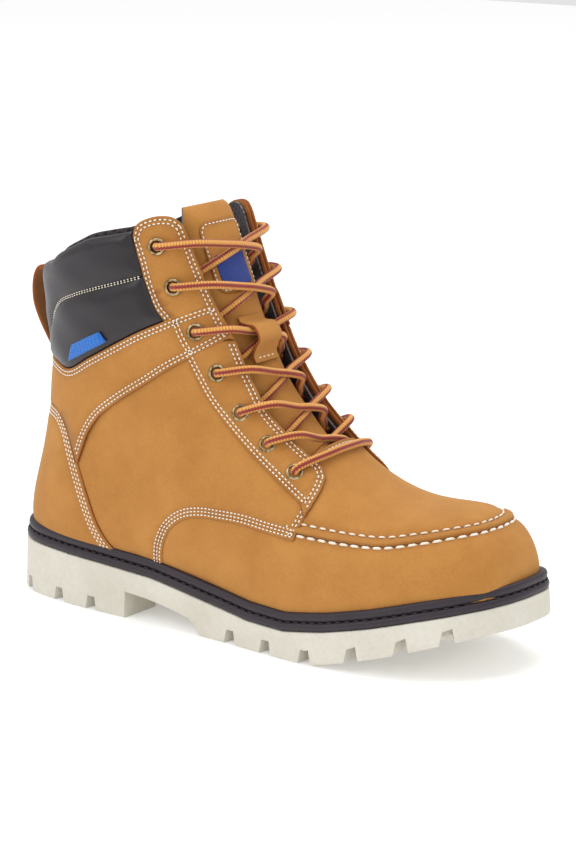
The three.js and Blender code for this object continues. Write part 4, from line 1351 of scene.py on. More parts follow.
@dataclass
class Upper:
    """The nubuck panels, the padded collar and their stitches."""

    shop: Workshop
    leather: float = 1.9
    raised: float = 1.1
    overlay: float = 1.5
    row_in: float = 1.7
    row_gap: float = 1.9
    collar_puff: float = 4.4
    bead_width: float = 4.4
    bead_height: float = 1.5
    feather_height: float = 4.6

    def _medial(self, line: Array, wrap: Wrap) -> Array:
        """The same lateral line on the medial side.

        Args:
            line: Rows of station number and lateral angle.
            wrap: How medial angles are counted.

        Returns:
            The medial rows.
        """
        out = line.copy()
        out[:, 1] = -out[:, 1] if wrap is Wrap.INSTEP else TAU - out[:, 1]
        return out

    def _soft(self, spots: Array, params: Array, distance: Array, normal: Array) -> Array:
        """Gentle unevenness of a hand-lasted leather face.

        Args:
            spots: Points of the form.
            params: Their parameters.
            distance: Their distance from the panel's rim.
            normal: The form's normals.

        Returns:
            Height to add, in millimetres.
        """
        x, y, z = spots.T
        waves = 0.30 * np.sin(x / 19.0 + 1.3 * np.sin(z / 23.0)) * np.sin(z / 17.0 + y / 31.0)
        waves += 0.22 * np.sin((x + 0.8 * z) / 11.0 + 2.0 * np.sin(y / 29.0)) * ramp(z, 60.0, 90.0)
        flex = np.exp(-(((x - 118.0) / 34.0) ** 2) - (((z - 84.0) / 26.0) ** 2))
        waves += 0.7 * flex * np.sin((z - 0.55 * x) / 5.2) * ramp(np.abs(y), 10.0, 30.0)
        return waves * ramp(distance, 1.5, 9.0) + 0.35 * ramp(distance, 2.0, 10.0)

    def _rise(self, spots: Array) -> Array:
        """How far a quarter climbs over the vamp near its front edge; it lies on the form elsewhere.

        Args:
            spots: Points of the form.

        Returns:
            Height to add, in millimetres.
        """
        return self.raised * ramp(spots[:, 0], 96.0, 112.0) * ramp(spots[:, 2], 150.0, 120.0)

    def _rows(self, lines: Sequence[Array], distances: Sequence[float], rim: Array,
              like: StitchRow) -> list[StitchRow]:
        """Rows of stitches beside several edges of one panel.

        Args:
            lines: The edges, as rows of station number and angle.
            distances: How far in each row lies.
            rim: The panel's outline.
            like: A row whose sizes are copied.

        Returns:
            The rows that fit on the panel.
        """
        return [row for line in lines for row in self.shop.rows_beside(line, distances, rim, like)]

    def vamp(self) -> None:
        """Apron with its rolled moc seam, and the mudguard that runs round the toe."""
        back = drawn(Pattern.apron_back, Side.LATERAL)
        seam = drawn(Pattern.moc_seam, Side.LATERAL)
        lateral = np.vstack([back, seam])
        outline = closed_loop(lateral, self._medial(lateral, Wrap.INSTEP)[::-1])
        whole_seam = np.vstack([seam, self._medial(seam, Wrap.INSTEP)[::-1]])

        def bead(spots: Array, params: Array, distance: Array, normal: Array) -> Array:
            """Rolled bead beside the moc seam, then a valley, then the apron's crown."""
            seam_spots = FORM.at(whole_seam)
            away = polyline_distance(spots, seam_spots)
            roll = np.clip(away / self.bead_width, 0.0, 1.0)
            raise_ = self.bead_height * np.sqrt(np.clip(1.0 - (2.0 * roll - 1.0) ** 2, 0.0, 1.0))
            valley = -0.35 * np.exp(-(((away - self.bead_width - 0.3) / 0.8) ** 2))
            crown = 0.7 * ramp(away, self.bead_width + 0.5, self.bead_width + 7.0)
            calm = np.where(away > self.bead_width, 1.0, 0.0)
            return raise_ + valley + crown + 0.5 * calm * self._soft(spots, params, away, normal)

        upper_row = FORM.beside(whole_seam, self.bead_width + 0.9)
        if not inside(FORM.flat(upper_row)[20:21], FORM.flat(outline))[0]:
            upper_row = FORM.beside(whole_seam, -(self.bead_width + 0.9))
        upper_row = FORM.unflat(respaced(FORM.flat(upper_row), 1.0))
        rows = [StitchRow(p, 5.4, 3.9, 0.5, 0.35) for p in self.shop.trimmed(upper_row, outline, 2.0)]
        rows += self._rows([back, self._medial(back, Wrap.INSTEP)], [2.2], outline,
                           StitchRow(None, 2.6, 1.8, 0.32))
        apron = Panel("vamp_apron_nubuck", outline, -1.9, self.leather, 0.6, rows, relief=bead)
        fin = self.shop.finishes
        self.shop.make(apron, [fin.nubuck, fin.raw_edge], "nubuck", ["vamp_apron"])

        tuck = drawn([[p[0] - 6.0, p[1] + 4.0] for p in Pattern.quarter_front], Side.LATERAL)
        feather = FORM.trace(Pattern.feather(self.feather_height), Side.LATERAL)
        feather = feather[FORM.at(feather)[:, 0] > 107.0]
        lateral = np.vstack([feather[::-1], tuck, seam[2:]])
        mud = closed_loop(lateral, self._medial(lateral, Wrap.INSTEP)[::-1])

        def shoulder(spots: Array, params: Array, distance: Array, normal: Array) -> Array:
            """The mudguard swells a little over the steel cap and dips to the seam."""
            seam_spots = FORM.at(whole_seam)
            away = polyline_distance(spots, seam_spots)
            return 0.5 * ramp(away, 0.5, 7.0) - 0.25 + 0.5 * self._soft(spots, params, distance, normal)

        low_row = FORM.unflat(respaced(FORM.flat(whole_seam), 1.0))
        beside = FORM.beside(low_row, -0.9)
        if not inside(FORM.flat(beside)[30:31], FORM.flat(mud))[0]:
            beside = FORM.beside(low_row, 0.9)
        rows = [StitchRow(p, 6.2, 5.0, 0.66, 0.2) for p in self.shop.trimmed(beside, mud, 0.3)]
        guard = Panel("toe_mudguard_nubuck", mud, -1.9, self.leather, 0.5, rows, relief=shoulder)
        self.shop.make(guard, [fin.nubuck, fin.raw_edge], "nubuck", ["toe_mudguard"])

    def quarters(self) -> None:
        """Both quarters, which lie over the vamp and carry three rows along their front."""
        fin = self.shop.finishes
        for side in Side:
            trace = partial(drawn, side=side)
            front = self._pinked(Pattern.front_edge, side)
            low = FORM.trace(Pattern.feather(self.feather_height), side)
            x = FORM.at(low)[:, 0]
            low = low[x < 115.0]
            collar = trace([[-10, 129], [10, 129], *Pattern.collar_low])
            quarter_front = trace(Pattern.quarter_front)
            outline = closed_loop(collar, trace(Pattern.eyestay_back)[::-1], trace(Pattern.tab_top),
                                  trace(Pattern.throat_edge), front, quarter_front[::-1], low[::-1])
            rows = self.shop.rows_beside(quarter_front, [1.9, 3.6, 5.3], outline,
                                         StitchRow(None, 2.3, 1.5, 0.33))
            rows += self.shop.rows_beside(front, [self.row_in, self.row_in + self.row_gap], outline,
                                          StitchRow(None, 2.4, 1.6, 0.33))
            holes = eyelet_holes(side, range(7), HOLE_RADIUS)
            panel = Panel(f"quarter_{side.word}_nubuck", outline, -1.9, self.leather, 0.7, rows, holes,
                          relief=self._soft, fade=self._rise)
            self.shop.make(panel, [fin.nubuck, fin.raw_edge], "nubuck", [f"quarter_{side.word}"])

    def _pinked(self, points: Sequence[Sequence[float]], side: Side) -> Array:
        """A front edge with the small scallops of a pinking cutter below the last eyelet.

        Args:
            points: Side-view points of the edge.
            side: The side of the boot.

        Returns:
            Rows of station number and angle.
        """
        line = spline(points, 0.6)
        run = lengths(line)
        depth = 0.55 * ramp(line[:, 1], 79.0, 75.0)
        way = np.gradient(line, axis=0)
        way /= np.linalg.norm(way, axis=1, keepdims=True)
        across = np.stack([-way[:, 1], way[:, 0]], axis=1)
        return FORM.trace(line + across * (depth * np.abs(np.sin(math.pi * run / 3.6)))[:, None], side)

    def overlays(self) -> None:
        """Eyestays, ankle bands and the heel overlay, each sewn down with two or three rows."""
        fin = self.shop.finishes
        thin = StitchRow(None, 2.4, 1.65, 0.34)
        pair = [self.row_in, self.row_in + self.row_gap]
        for side in Side:
            trace = partial(drawn, side=side)
            back = trace([*Pattern.eyestay_back, [117.5, 156.5]])
            tab = trace(Pattern.tab_top)
            top_edge = trace(Pattern.throat_edge[:4])
            seat = FORM.trace(respaced(np.array([[143.0, 159], [117.5, 151.0]]), 1.0), side)
            outline = closed_loop(tab, top_edge, seat, back[::-1])
            rows = self._rows([back, tab, top_edge], pair, outline, thin)
            panel = Panel(f"eyestay_top_{side.word}_nubuck", outline, 0.1, self.overlay, 0.6, rows,
                          eyelet_holes(side, [0, 1], HOLE_RADIUS), relief=self._soft)
            self.shop.make(panel, [fin.nubuck, fin.raw_edge], "nubuck", [f"eyestay_top_{side.word}"])

            low_edge = trace(Pattern.eyestay_low)
            front = self._pinked(Pattern.front_edge[:4], side)
            hem = trace(Pattern.throat_edge[4:])
            outline = closed_loop(hem, front, low_edge[::-1],
                                  FORM.trace(respaced(np.array([[122.0, 150], [149.0, 150.0]]), 1.0), side))
            rows = self._rows([low_edge, hem, front], pair, outline, thin)
            panel = Panel(f"eyestay_lower_{side.word}_nubuck", outline, 0.1, self.overlay, 0.6, rows,
                          eyelet_holes(side, [3, 4, 5, 6], HOLE_RADIUS), relief=self._soft, fade=self._rise)
            self.shop.make(panel, [fin.nubuck, fin.raw_edge], "nubuck", [f"eyestay_lower_{side.word}"])

            up = trace([[-10, 129], [10, 129], *Pattern.collar_low, [122, 161.5], [137.5, 168]])
            mouth = trace(Pattern.throat_edge[2:5])
            under = trace(Pattern.band_low)
            heel_meet = trace([[-20, 103], *Pattern.heel_line[:5]])
            mouth_end = FORM.trace(respaced(np.array([[139.5, 166], [149.0, 150.0]]), 1.0), side)
            outline = closed_loop(up, mouth_end, under, heel_meet[::-1])
            rows = self._rows([up, under, mouth], pair, outline, thin)
            link = trace([[121, 161], [124.5, 153.5], [128.5, 146.5], [132.5, 141]])
            for aside in (-0.95, 0.95):
                rows += [StitchRow(p, 2.4, 1.65, 0.34)
                         for p in self.shop.trimmed(FORM.beside(link, aside), outline, 1.0)]
            panel = Panel(f"ankle_band_{side.word}_nubuck", outline, 0.7, self.overlay, 0.6, rows,
                          eyelet_holes(side, [2], HOLE_RADIUS), relief=self._soft)
            self.shop.make(panel, [fin.nubuck, fin.raw_edge], "nubuck", [f"ankle_band_{side.word}"])

        edge = drawn([[-20, 103], *Pattern.heel_line], Side.LATERAL)
        low = FORM.trace(Pattern.feather(self.feather_height), Side.LATERAL)
        low = low[FORM.at(low)[:, 0] < 86.0]
        lateral = np.vstack([edge, low[::-1]])
        outline = closed_loop(lateral, self._medial(lateral, Wrap.BACK)[::-1])
        rows = self._rows([edge, self._medial(edge, Wrap.BACK)], [1.9, 3.7, 5.5], outline,
                          StitchRow(None, 2.5, 1.6, 0.36))
        panel = Panel("heel_overlay_nubuck", outline, 0.1, self.overlay, 0.7, rows, relief=self._soft)
        self.shop.make(panel, [fin.nubuck, fin.raw_edge], "nubuck", ["heel_overlay"])

    def collar(self) -> None:
        """Padded collar: two lower pads, and an upper roll that runs round the back."""
        fin = self.shop.finishes
        dots = StitchRow(None, 2.1, 1.15, 0.28, 0.2)

        def puffed(width: float, height: float) -> Callable[[Array, Array, Array, Array], Array]:
            """A round foam profile that rises from the pad's rim.

            Args:
                width: How far in from the rim the foam reaches its full height.
                height: That height in millimetres.

            Returns:
                The relief function.
            """

            def relief(spots: Array, params: Array, distance: Array, normal: Array) -> Array:
                """Height of the foam at each point; it rolls over faster at the mouth."""
                x, y, z = spots.T
                mouth = ramp(z - np.interp(x, [5, 22, 41, 63, 98], [176, 177, 181, 193, 203]), -16.0, -3.0)
                t = np.clip(distance / (width + (4.5 - width) * mouth), 0.0, 1.0)
                crumple = 0.35 * np.sin(x / 7.0 + z / 9.0) * np.sin(z / 6.0 - y / 15.0)
                crumple = crumple * ramp(distance, 2.0, 8.0)
                return height * np.sqrt(np.clip(1.0 - (1.0 - t) ** 2.2, 0.0, 1.0)) + crumple

            return relief

        for side in Side:
            low = drawn(Pattern.collar_low[1:], side)
            front = drawn([[116.8, 158.5], [111.8, 165], [107.5, 175], [105, 180.6]], side)
            seam = drawn([[x, z + 0.45] for x, z in Pattern.collar_seam], side)
            corner = drawn([[31, 129], [36, 128], [40, 127.5]], side)
            outline = closed_loop(low, front, seam[::-1], corner)
            rows = self.shop.rows_beside(seam, [0.9], outline, dots)
            panel = Panel(f"collar_pad_lower_{side.word}_leather", outline, -1.6, 1.9, 0.35, rows,
                          relief=puffed(11.0, self.collar_puff), grid=2.4)
            piece = self.shop.make(panel, [fin.collar, fin.collar], "collar_leather",
                                   [f"collar_pad_lower_{side.word}"])
            if side is Side.LATERAL:
                self._tag(outline, puffed(11.0, self.collar_puff))
        rim = drawn([[-8, 175.5], *Pattern.collar_rim], Side.LATERAL)
        front = drawn([[98, 203], [99.5, 199], [102.5, 189], [105, 180.5]], Side.LATERAL)
        seam = drawn([[x + 0.2, z - 0.35] for x, z in Pattern.collar_seam], Side.LATERAL)
        base = drawn([[31, 129], [10, 129.2], [-8, 129.4]], Side.LATERAL)
        lateral = np.vstack([rim, front, seam[::-1], base])
        outline = closed_loop(lateral, self._medial(lateral, Wrap.BACK)[::-1])
        rows = self._rows([seam, self._medial(seam, Wrap.BACK)], [0.9], outline, dots)
        panel = Panel("collar_pad_upper_leather", outline, -2.6, 2.9, 0.35, rows,
                      relief=puffed(13.0, self.collar_puff), grid=2.4)
        piece = self.shop.make(panel, [fin.collar, fin.collar], "collar_leather", ["collar_pad_upper"])

    def _tag(self, pad: Array, relief: Callable[[Array, Array, Array, Array], Array]) -> None:
        """The small tape tag that is caught in the collar's lower seam.

        Args:
            pad: Outline of the pad that it lies on.
            relief: The pad's foam profile.
        """
        sides = [[[57, 131.5], [84, 145.4]], [[84, 145.4], [80.5, 150.5]], [[80.5, 150.5], [61, 141]],
                 [[61, 141], [57, 131.5]]]
        tag = FORM.trace(np.vstack([respaced(np.array(p, float), 1.0) for p in sides]), Side.LATERAL)
        edge = FORM.at(pad)

        def lie(spots: Array) -> Array:
            """Height of the pad under the tag, kept level across its own folds."""
            return relief(spots, spots, np.maximum(polyline_distance(spots, edge, closed=True), 1.5), spots)

        panel = Panel("collar_tag_tape", tag, 0.75, 1.1, 0.3, grid=1.6, fade=lie)
        self.shop.make(panel, [self.shop.finishes.tag, self.shop.finishes.tag], "blue_tape", ["collar_tag"])

    def linings(self) -> None:
        """Mesh linings inside the shaft and the vamp."""
        fin = self.shop.finishes
        for side in Side:
            trace = partial(drawn, side=side, step=1.5)
            rim = trace([[-8, 177.5], [22, 179], [41, 183], [50, 189], [63, 195], [72, 199], [85, 202.3],
                         [96, 204.6]])
            tab = trace([[96, 204.6], [100.5, 206.3], [105, 208.5], [111, 210], [116, 209.5], [120, 206.4]])
            hem = trace([[x - 0.8, z - 0.6] for x, z in Pattern.throat_edge])
            back = trace([[205, 86], [203.5, 76], [201, 62], [200, 40], [200, 24]])
            low = FORM.trace(Pattern.feather(self.feather_height), side)
            low = low[FORM.at(low)[:, 0] < 199.0]
            outline = closed_loop(rim, tab, hem, back, low[::-1])
            panel = Panel(f"lining_{side.word}_mesh", outline, -3.6, 1.2, 0.5,
                          holes=eyelet_holes(side, range(7), HOLE_RADIUS), grid=4.0)
            self.shop.make(panel, [fin.lining, fin.knit], "lining_textile", [f"lining_{side.word}"])


@dataclass
class Eyelets:
    """Rolled brass eyelets."""

    finishes: Finishes
    flange: float = 4.5
    bore: float = 2.6
    wall: float = 0.45
    seat: float = 2.35
    inner_end: float = -3.9
    segments: int = 40

    def build(self) -> None:
        """Makes the eyelets of both sides and stands them on the form."""
        top = self.seat
        profile = [(self.bore, self.inner_end), (self.bore + self.wall, self.inner_end),
                   (self.bore + self.wall, top - 0.3), (self.flange - 0.5, top - 0.1),
                   (self.flange, top + 0.12), (self.flange - 0.06, top + 0.42),
                   (self.flange - 0.5, top + 0.78), (self.flange - 1.1, top + 0.9),
                   (self.flange - 1.5, top + 0.72), (self.bore + 0.45, top + 0.3),
                   (self.bore + 0.12, top + 0.02), (self.bore, top - 0.5)]
        for side in Side:
            for row, (x, z) in enumerate(Pattern.eyelets):
                spot, axis = eyelet_frame(side, row)
                turn = Vector((0, 0, 1)).rotation_difference(Vector(axis))
                points = []
                for k in range(self.segments):
                    a = TAU * k / self.segments
                    for r, h in profile:
                        p = turn @ Vector((r * math.cos(a), r * math.sin(a), h))
                        points.append(spot + np.array(p))
                faces = ring_faces(self.segments, len(profile), closed=True)
                name = f"eyelet_{side.word}_{row + 1}"
                piece = mesh_object(f"{name}_brass", np.array(points), faces)
                dress(piece, [self.finishes.brass], "boot", [name])


def eyelet_frame(side: Side, row: int) -> tuple[Array, Array]:
    """An eyelet's place and axis.

    Args:
        side: The side of the boot.
        row: Row number from the top, 0 first.

    Returns:
        The point of the form on its axis, and the outward normal there.
    """
    x, z = Pattern.eyelets[row]
    u, q = FORM.locate(np.array([x]), np.array([z]))
    turn = np.arccos(1.0 - 2.0 * q)
    turn = turn if side is Side.LATERAL else TAU - turn
    return FORM.point(u, turn)[0], FORM.frame(u, turn)[2][0]


@dataclass
class Lace:
    """One lace, threaded as in the CAD part: a bar over the lowest row, then crossings to the top."""

    finishes: Finishes
    radius: float = 2.0
    sides: int = 24
    step: float = 0.45
    eyelet_top: float = 1.9
    eyelet_end: float = -3.8
    rim: float = 0.9
    gap: float = 0.3
    tongue_lift: float = 9.4
    patch: float = 1.6
    bend: float = 3.1
    edge_share: float = 0.72

    def __post_init__(self) -> None:
        """Works out the heights that the lace lies at."""
        self.over = self.eyelet_top + self.radius + 0.4
        self.flange = self.eyelet_top + self.gap + self.rim + self.radius + 0.1
        self.under = self.eyelet_end - self.radius - 0.9
        self.low = -self.tongue_lift + self.radius + self.gap + 0.2
        self.high = self.low + 2.0 * self.radius + 0.2

    def _spot(self, side: int, row: int) -> tuple[float, float]:
        """Parameters of an eyelet, with the medial angle counted through the instep.

        Args:
            side: -1 lateral, 1 medial.
            row: Row number from the top, 0 first.

        Returns:
            Station number and signed angle.
        """
        x, z = Pattern.eyelets[row]
        u, q = FORM.locate(np.array([x]), np.array([z]))
        turn = math.acos(1.0 - 2.0 * q[0])
        return float(u[0]), (turn if side < 0 else -turn)

    def _between(self, start: tuple[int, int], end: tuple[int, int], share: float, offset: float) -> Array:
        """A point on the way from the middle of a crossing to an eyelet.

        Args:
            start: Side and row that the crossing comes from.
            end: Side and row of the eyelet that it goes to.
            share: 0 in the middle, 1 at the eyelet.
            offset: Height over the form.

        Returns:
            The point in pattern millimetres.
        """
        u, turn = self._spot(*end)
        middle = (u + self._spot(*start)[0]) / 2.0
        at = np.array([middle + share * (u - middle)])
        return FORM.lifted(at, np.array([share * turn]), np.array([offset]))[0]

    def _through(self, side: int, row: int, outside: Array, within: Array) -> list[Array]:
        """Down through an eyelet, with a round bend at each end.

        Args:
            side: -1 lateral, 1 medial.
            row: Row number from the top, 0 first.
            outside: Where the lace comes from, over the leather.
            within: Where it goes, under the leather.

        Returns:
            Points of the lace.
        """
        spot, normal = eyelet_frame(Side(side), row)

        def across(target: Array) -> Array:
            """The way to a target, along the leather."""
            way = target - spot
            way = way - normal * (way @ normal)
            return way / np.linalg.norm(way)

        out, inn = across(outside), across(within)
        top, low = self.flange - self.bend, self.under - 0.6 + self.bend
        shape = [(1.0, 0.0), (0.3, 0.3), (0.0, 1.0)]
        down = [spot + out * away * self.bend + normal * (top + (1 - drop) * self.bend)
                for away, drop in shape]
        back = [spot + inn * away * self.bend + normal * (low - (1 - drop) * self.bend)
                for away, drop in shape[::-1]]
        return down + back

    def _crossing(self, start: tuple[int, int], end: tuple[int, int]) -> list[Array]:
        """From under one edge of the throat, over the tongue, to the next eyelet up.

        Args:
            start: Side and row that it comes from.
            end: Side and row that it goes to.

        Returns:
            Points of the lace.
        """
        rise = self.patch + 2 * self.gap if end[1] < 2 else 0.0
        middle = (self.high if end[0] < 0 else self.low) + rise
        level = 0.34 if start[1] == 3 else 0.25
        share = self.edge_share
        return [self._between(end, start, share, self.under),
                self._between(end, start, 0.52, min(middle, self.under + 0.4)),
                self._between(end, start, 0.3, middle), self._between(start, end, 0.0, middle),
                self._between(start, end, level, middle + 0.2),
                self._between(start, end, share - 0.1, self.over + 0.8)]

    def _strand(self, side: int) -> list[Array]:
        """One half of the lace, from the lowest eyelet of a side to its hanging end.

        Args:
            side: -1 lateral, 1 medial.

        Returns:
            Points of the lace.
        """
        points: list[Array] = []
        here = side
        for row in range(6, 0, -1):
            start, end = (here, row), (-here, row - 1)
            path = self._crossing(start, end)
            came = self._between((-here, 6), start, 0.9, self.over) if row == 6 else points[-1]
            points += self._through(here, row, came, path[0]) + path
            here = -here
        hang_line = [[105, 188], [99, 178], [97, 166], [98, 152], [101, 138], [105, 124], [109, 110]]
        hang = []
        for x, z in hang_line:
            u, q = FORM.locate(np.array([x]), np.array([z]))
            turn = np.arccos(1.0 - 2.0 * q)
            turn = turn if here < 0 else TAU - turn
            hang.append(FORM.lifted(u, turn, np.array([-self.tongue_lift + 0.6]))[0])
        points += self._through(here, 0, points[-1], hang[0]) + hang
        return points

    def route(self) -> Array:
        """The whole lace's points.

        Returns:
            Points in pattern millimetres, from tip to tip.
        """
        bars = []
        for side in (-1, 1):
            bars.append([self._between((-side, 6), (side, 6), share,
                                       self.over + 0.5 if share > 0.6 else self.radius + self.gap + 1.4)
                         for share in (0.72, 0.45, 0.2)])
        line = self._strand(-1)[::-1] + bars[0] + bars[1][::-1] + self._strand(1)
        return np.array(line)

    def build(self) -> None:
        """Sweeps the braid along its route and adds the tips."""
        line = spline(self.route(), self.step)
        run = lengths(line)
        way = np.gradient(line, axis=0)
        way /= np.linalg.norm(way, axis=1, keepdims=True)
        up = np.zeros_like(line)
        up[0] = np.cross(way[0], [0.0, 0.0, 1.0])
        up[0] /= np.linalg.norm(up[0])
        for k in range(1, len(line)):
            moved = up[k - 1] - way[k] * (up[k - 1] @ way[k])
            up[k] = moved / np.linalg.norm(moved)
        side = np.cross(way, up)
        angles = np.linspace(0.0, TAU, self.sides, endpoint=False)
        # The braid's ribs lean one way on one half of the girth and the other way on the other half.
        share = np.abs(((angles / TAU * BRAID_RIBS) % 1.0) - 0.5)
        phase = run[:, None] / BRAID_PITCH + share[None, :] * BRAID_LEAN
        hill = np.abs((phase % 1.0) - 0.5) * 2.0
        girth = self.radius * (0.93 + 0.10 * (1.0 - hill**2))
        cos, sin = np.cos(angles)[None, :, None], np.sin(angles)[None, :, None]
        rings = line[:, None, :] + girth[..., None] * (cos * up[:, None, :] + sin * side[:, None, :])
        n = self.sides
        faces = tube_faces(len(line), n)
        around = np.tile(np.arange(n) / n, len(line))
        uvs = np.stack([np.repeat(run * MM, n), around], axis=1)
        piece = mesh_object("lace_braid", rings.reshape(-1, 3), faces, uvs)
        # The seam corners read the end of the turn rather than its start.
        layer = piece.data.uv_layers[0].data
        for polygon in piece.data.polygons[: (len(line) - 1) * n]:
            if polygon.index % n == n - 1:
                for loop in (polygon.loop_start + 1, polygon.loop_start + 2):
                    layer[loop].uv[1] = 1.0
        dress(piece, [self.finishes.lace], "boot", ["lace"])
        for end, before, word in ((line[-1], line[-4], "lateral"), (line[0], line[3], "medial")):
            self._tip(end, end - before, word)
        LOG.info("lace: %.0f mm", run[-1])

    def _tip(self, end: Array, way: Array, word: str) -> None:
        """The film sleeve at one end.

        Args:
            end: The lace's end.
            way: The way that it runs there.
            word: The side in the node's name.
        """
        way = way / np.linalg.norm(way)
        turn = Vector((0, 0, 1)).rotation_difference(Vector(way))
        profile = [(0.0, 0.3), (1.5, 0.3), (1.72, 0.6), (1.7, 3.0), (1.6, 9.0), (1.5, 16.5),
                   (1.25, 17.8), (0.0, 18.2)]
        points, n = [], 20
        for radius, h in profile:
            r = max(radius, 0.02)  # the closed ends stay rings
            for k in range(n):
                a = TAU * k / n
                points.append(end + np.array(turn @ Vector((r * math.cos(a), r * math.sin(a), h))))
        piece = mesh_object(f"aglet_{word}_film", np.array(points), tube_faces(len(profile), n))
        dress(piece, [self.finishes.film], "boot", [f"aglet_{word}"])


@dataclass
class Tongue:
    """Tongue with a padded rolled top, its patch, label, keeper and gussets."""

    shop: Workshop
    half_width: float = 24.0
    lift: float = 9.4
    thickness: float = 3.2
    pad: float = 5.4
    top: float = 218.0
    split: float = 157.0

    def _across(self, u: Array, y: Array) -> Array:
        """Angles at which sections reach a given Y.

        Args:
            u: Station numbers.
            y: Wanted Y, negative on the lateral side.

        Returns:
            Signed angles, medial ones negative.
        """
        low, high = np.zeros_like(u), np.full_like(u, 0.5 * math.pi)
        sign = np.where(y < 0, 1.0, -1.0)
        for _ in range(30):
            middle = (low + high) / 2.0
            reach = np.abs(FORM.point(u, sign * middle)[..., 1])
            low, high = np.where(reach < np.abs(y), middle, low), np.where(reach < np.abs(y), high, middle)
        return sign * low

    def leather(self) -> None:
        """The tongue as one padded leather shell from under the vamp to its rolled top."""
        u_low = 11.9
        ridge = FORM.point(np.linspace(18, 23, 200), np.zeros(200))
        u_top = float(np.interp(self.top - 1.0, ridge[:, 2], np.linspace(18, 23, 200))) + 0.12
        rows = np.linspace(u_low, u_top, 96)
        loop = 72
        angles = np.linspace(0.0, TAU, loop, endpoint=False)
        points, uvs = [], []
        for k, u in enumerate(rows):
            z_here = float(FORM.point(np.array([u]), np.array([0.0]))[0, 2])
            fill = float(ramp(z_here, 150.0, 172.0))
            thick = self.thickness + (self.pad + 0.9 - self.thickness) * fill
            share = k / (len(rows) - 1)
            end = math.sqrt(max(1.0 - max((share - 0.93) / 0.07, 0.0) ** 2, 0.02))
            wide = self.half_width + 5.0 * float(ramp(z_here, 158.0, 176.0))
            wide = wide - 3.5 * float(ramp(z_here, 116.0, 100.0))
            half = wide * (0.985 if share < 0.9 else 0.985 - 0.10 * ((share - 0.9) / 0.1) ** 2)
            side = np.sign(np.cos(angles)) * np.abs(np.cos(angles)) ** 0.55
            bulge = np.sign(np.sin(angles)) * np.abs(np.sin(angles)) ** 0.75
            y = half * side
            turn = self._across(np.full(loop, u), y)
            roll = 0.6 * thick * end * bulge
            middle = -self.lift - thick / 2.0 - (1.0 - end) * 1.0
            wave = 0.3 * np.sin(z_here / 6.0 + y / 9.0) * fill
            spots = FORM.lifted(np.full(loop, u), turn, middle + roll + wave * (bulge > 0))
            points.append(spots)
            uvs.append(np.stack([y, np.full(loop, z_here)], axis=1))
        verts = np.vstack(points)
        faces = ring_faces(len(rows), loop)
        faces.append(tuple(range(loop)))
        faces.append(tuple((len(rows) - 1) * loop + k for k in range(loop))[::-1])
        backs = []
        for face in faces:
            centre = np.mean([math.sin(angles[i % loop]) for i in face])
            near_top = min(face) // loop > len(rows) - 9
            backs.append(1 if centre < (0.3 if near_top else -0.05) else 0)
        backs[-1] = 1
        backs[-2] = 0
        piece = mesh_object("tongue_padded", verts, faces, np.vstack(uvs) * MM, backs)
        fix_winding(piece)
        fin = self.shop.finishes
        dress(piece, [fin.nubuck, fin.knit], "", ["tongue_lower", "tongue_upper"])
        start = Place.metres([[145.0, 0.0, self.split - 9.0]])[0]
        end_at = Place.metres([[145.0, 0.0, self.split + 9.0]])[0]
        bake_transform(piece)

    def patch(self) -> None:
        """Leather patch on the padded part, with its stitched rim, and the plain tape label."""
        fin = self.shop.finishes
        ridge_u = np.linspace(17, 23, 300)
        ridge = FORM.point(ridge_u, np.zeros(300))

        def outline(z0: float, z1: float, y0: float, y1: float, corner: float) -> Array:
            """A rounded rectangle on the tongue's face.

            Args:
                z0: Lower edge.
                z1: Upper edge.
                y0: Lateral edge.
                y1: Medial edge.
                corner: Corner radius.

            Returns:
                Rows of station number and signed angle.
            """
            pts = []
            for cy, cz, a0 in ((y1 - corner, z1 - corner, 0.0), (y0 + corner, z1 - corner, 90.0),
                               (y0 + corner, z0 + corner, 180.0), (y1 - corner, z0 + corner, 270.0)):
                for a in np.radians(np.linspace(a0, a0 + 90.0, 7)):
                    pts.append([cy + corner * math.cos(a), cz + corner * math.sin(a)])
            yz = respaced(np.array(pts), 1.0, closed=True)
            u = np.interp(yz[:, 1] + 4.0, ridge[:, 2], ridge_u)
            return np.stack([u, self._across(u, yz[:, 0])], axis=1)

        rim = outline(171.0, 206.0, -21.0, 17.0, 6.0)
        face = -self.lift + 0.35
        closed = np.vstack([rim, rim[:1]])
        rows = self.shop.rows_beside(closed, [1.6], rim, StitchRow(None, 2.5, 1.7, 0.32))
        panel = Panel("tongue_patch_nubuck", rim, face, 1.0, 0.45, rows, grid=2.2)
        self.shop.make(panel, [fin.nubuck, fin.raw_edge], "nubuck", ["tongue_patch"], body="tongue_top")
        label_rim = outline(174.0, 189.5, -17.0, 9.0, 1.2)
        panel = Panel("tongue_label_tape", label_rim, face + 1.02, 0.55, 0.2, grid=2.0)
        self.shop.make(panel, [fin.tape, fin.tape], "blue_tape", ["tongue_label"], body="tongue_top")

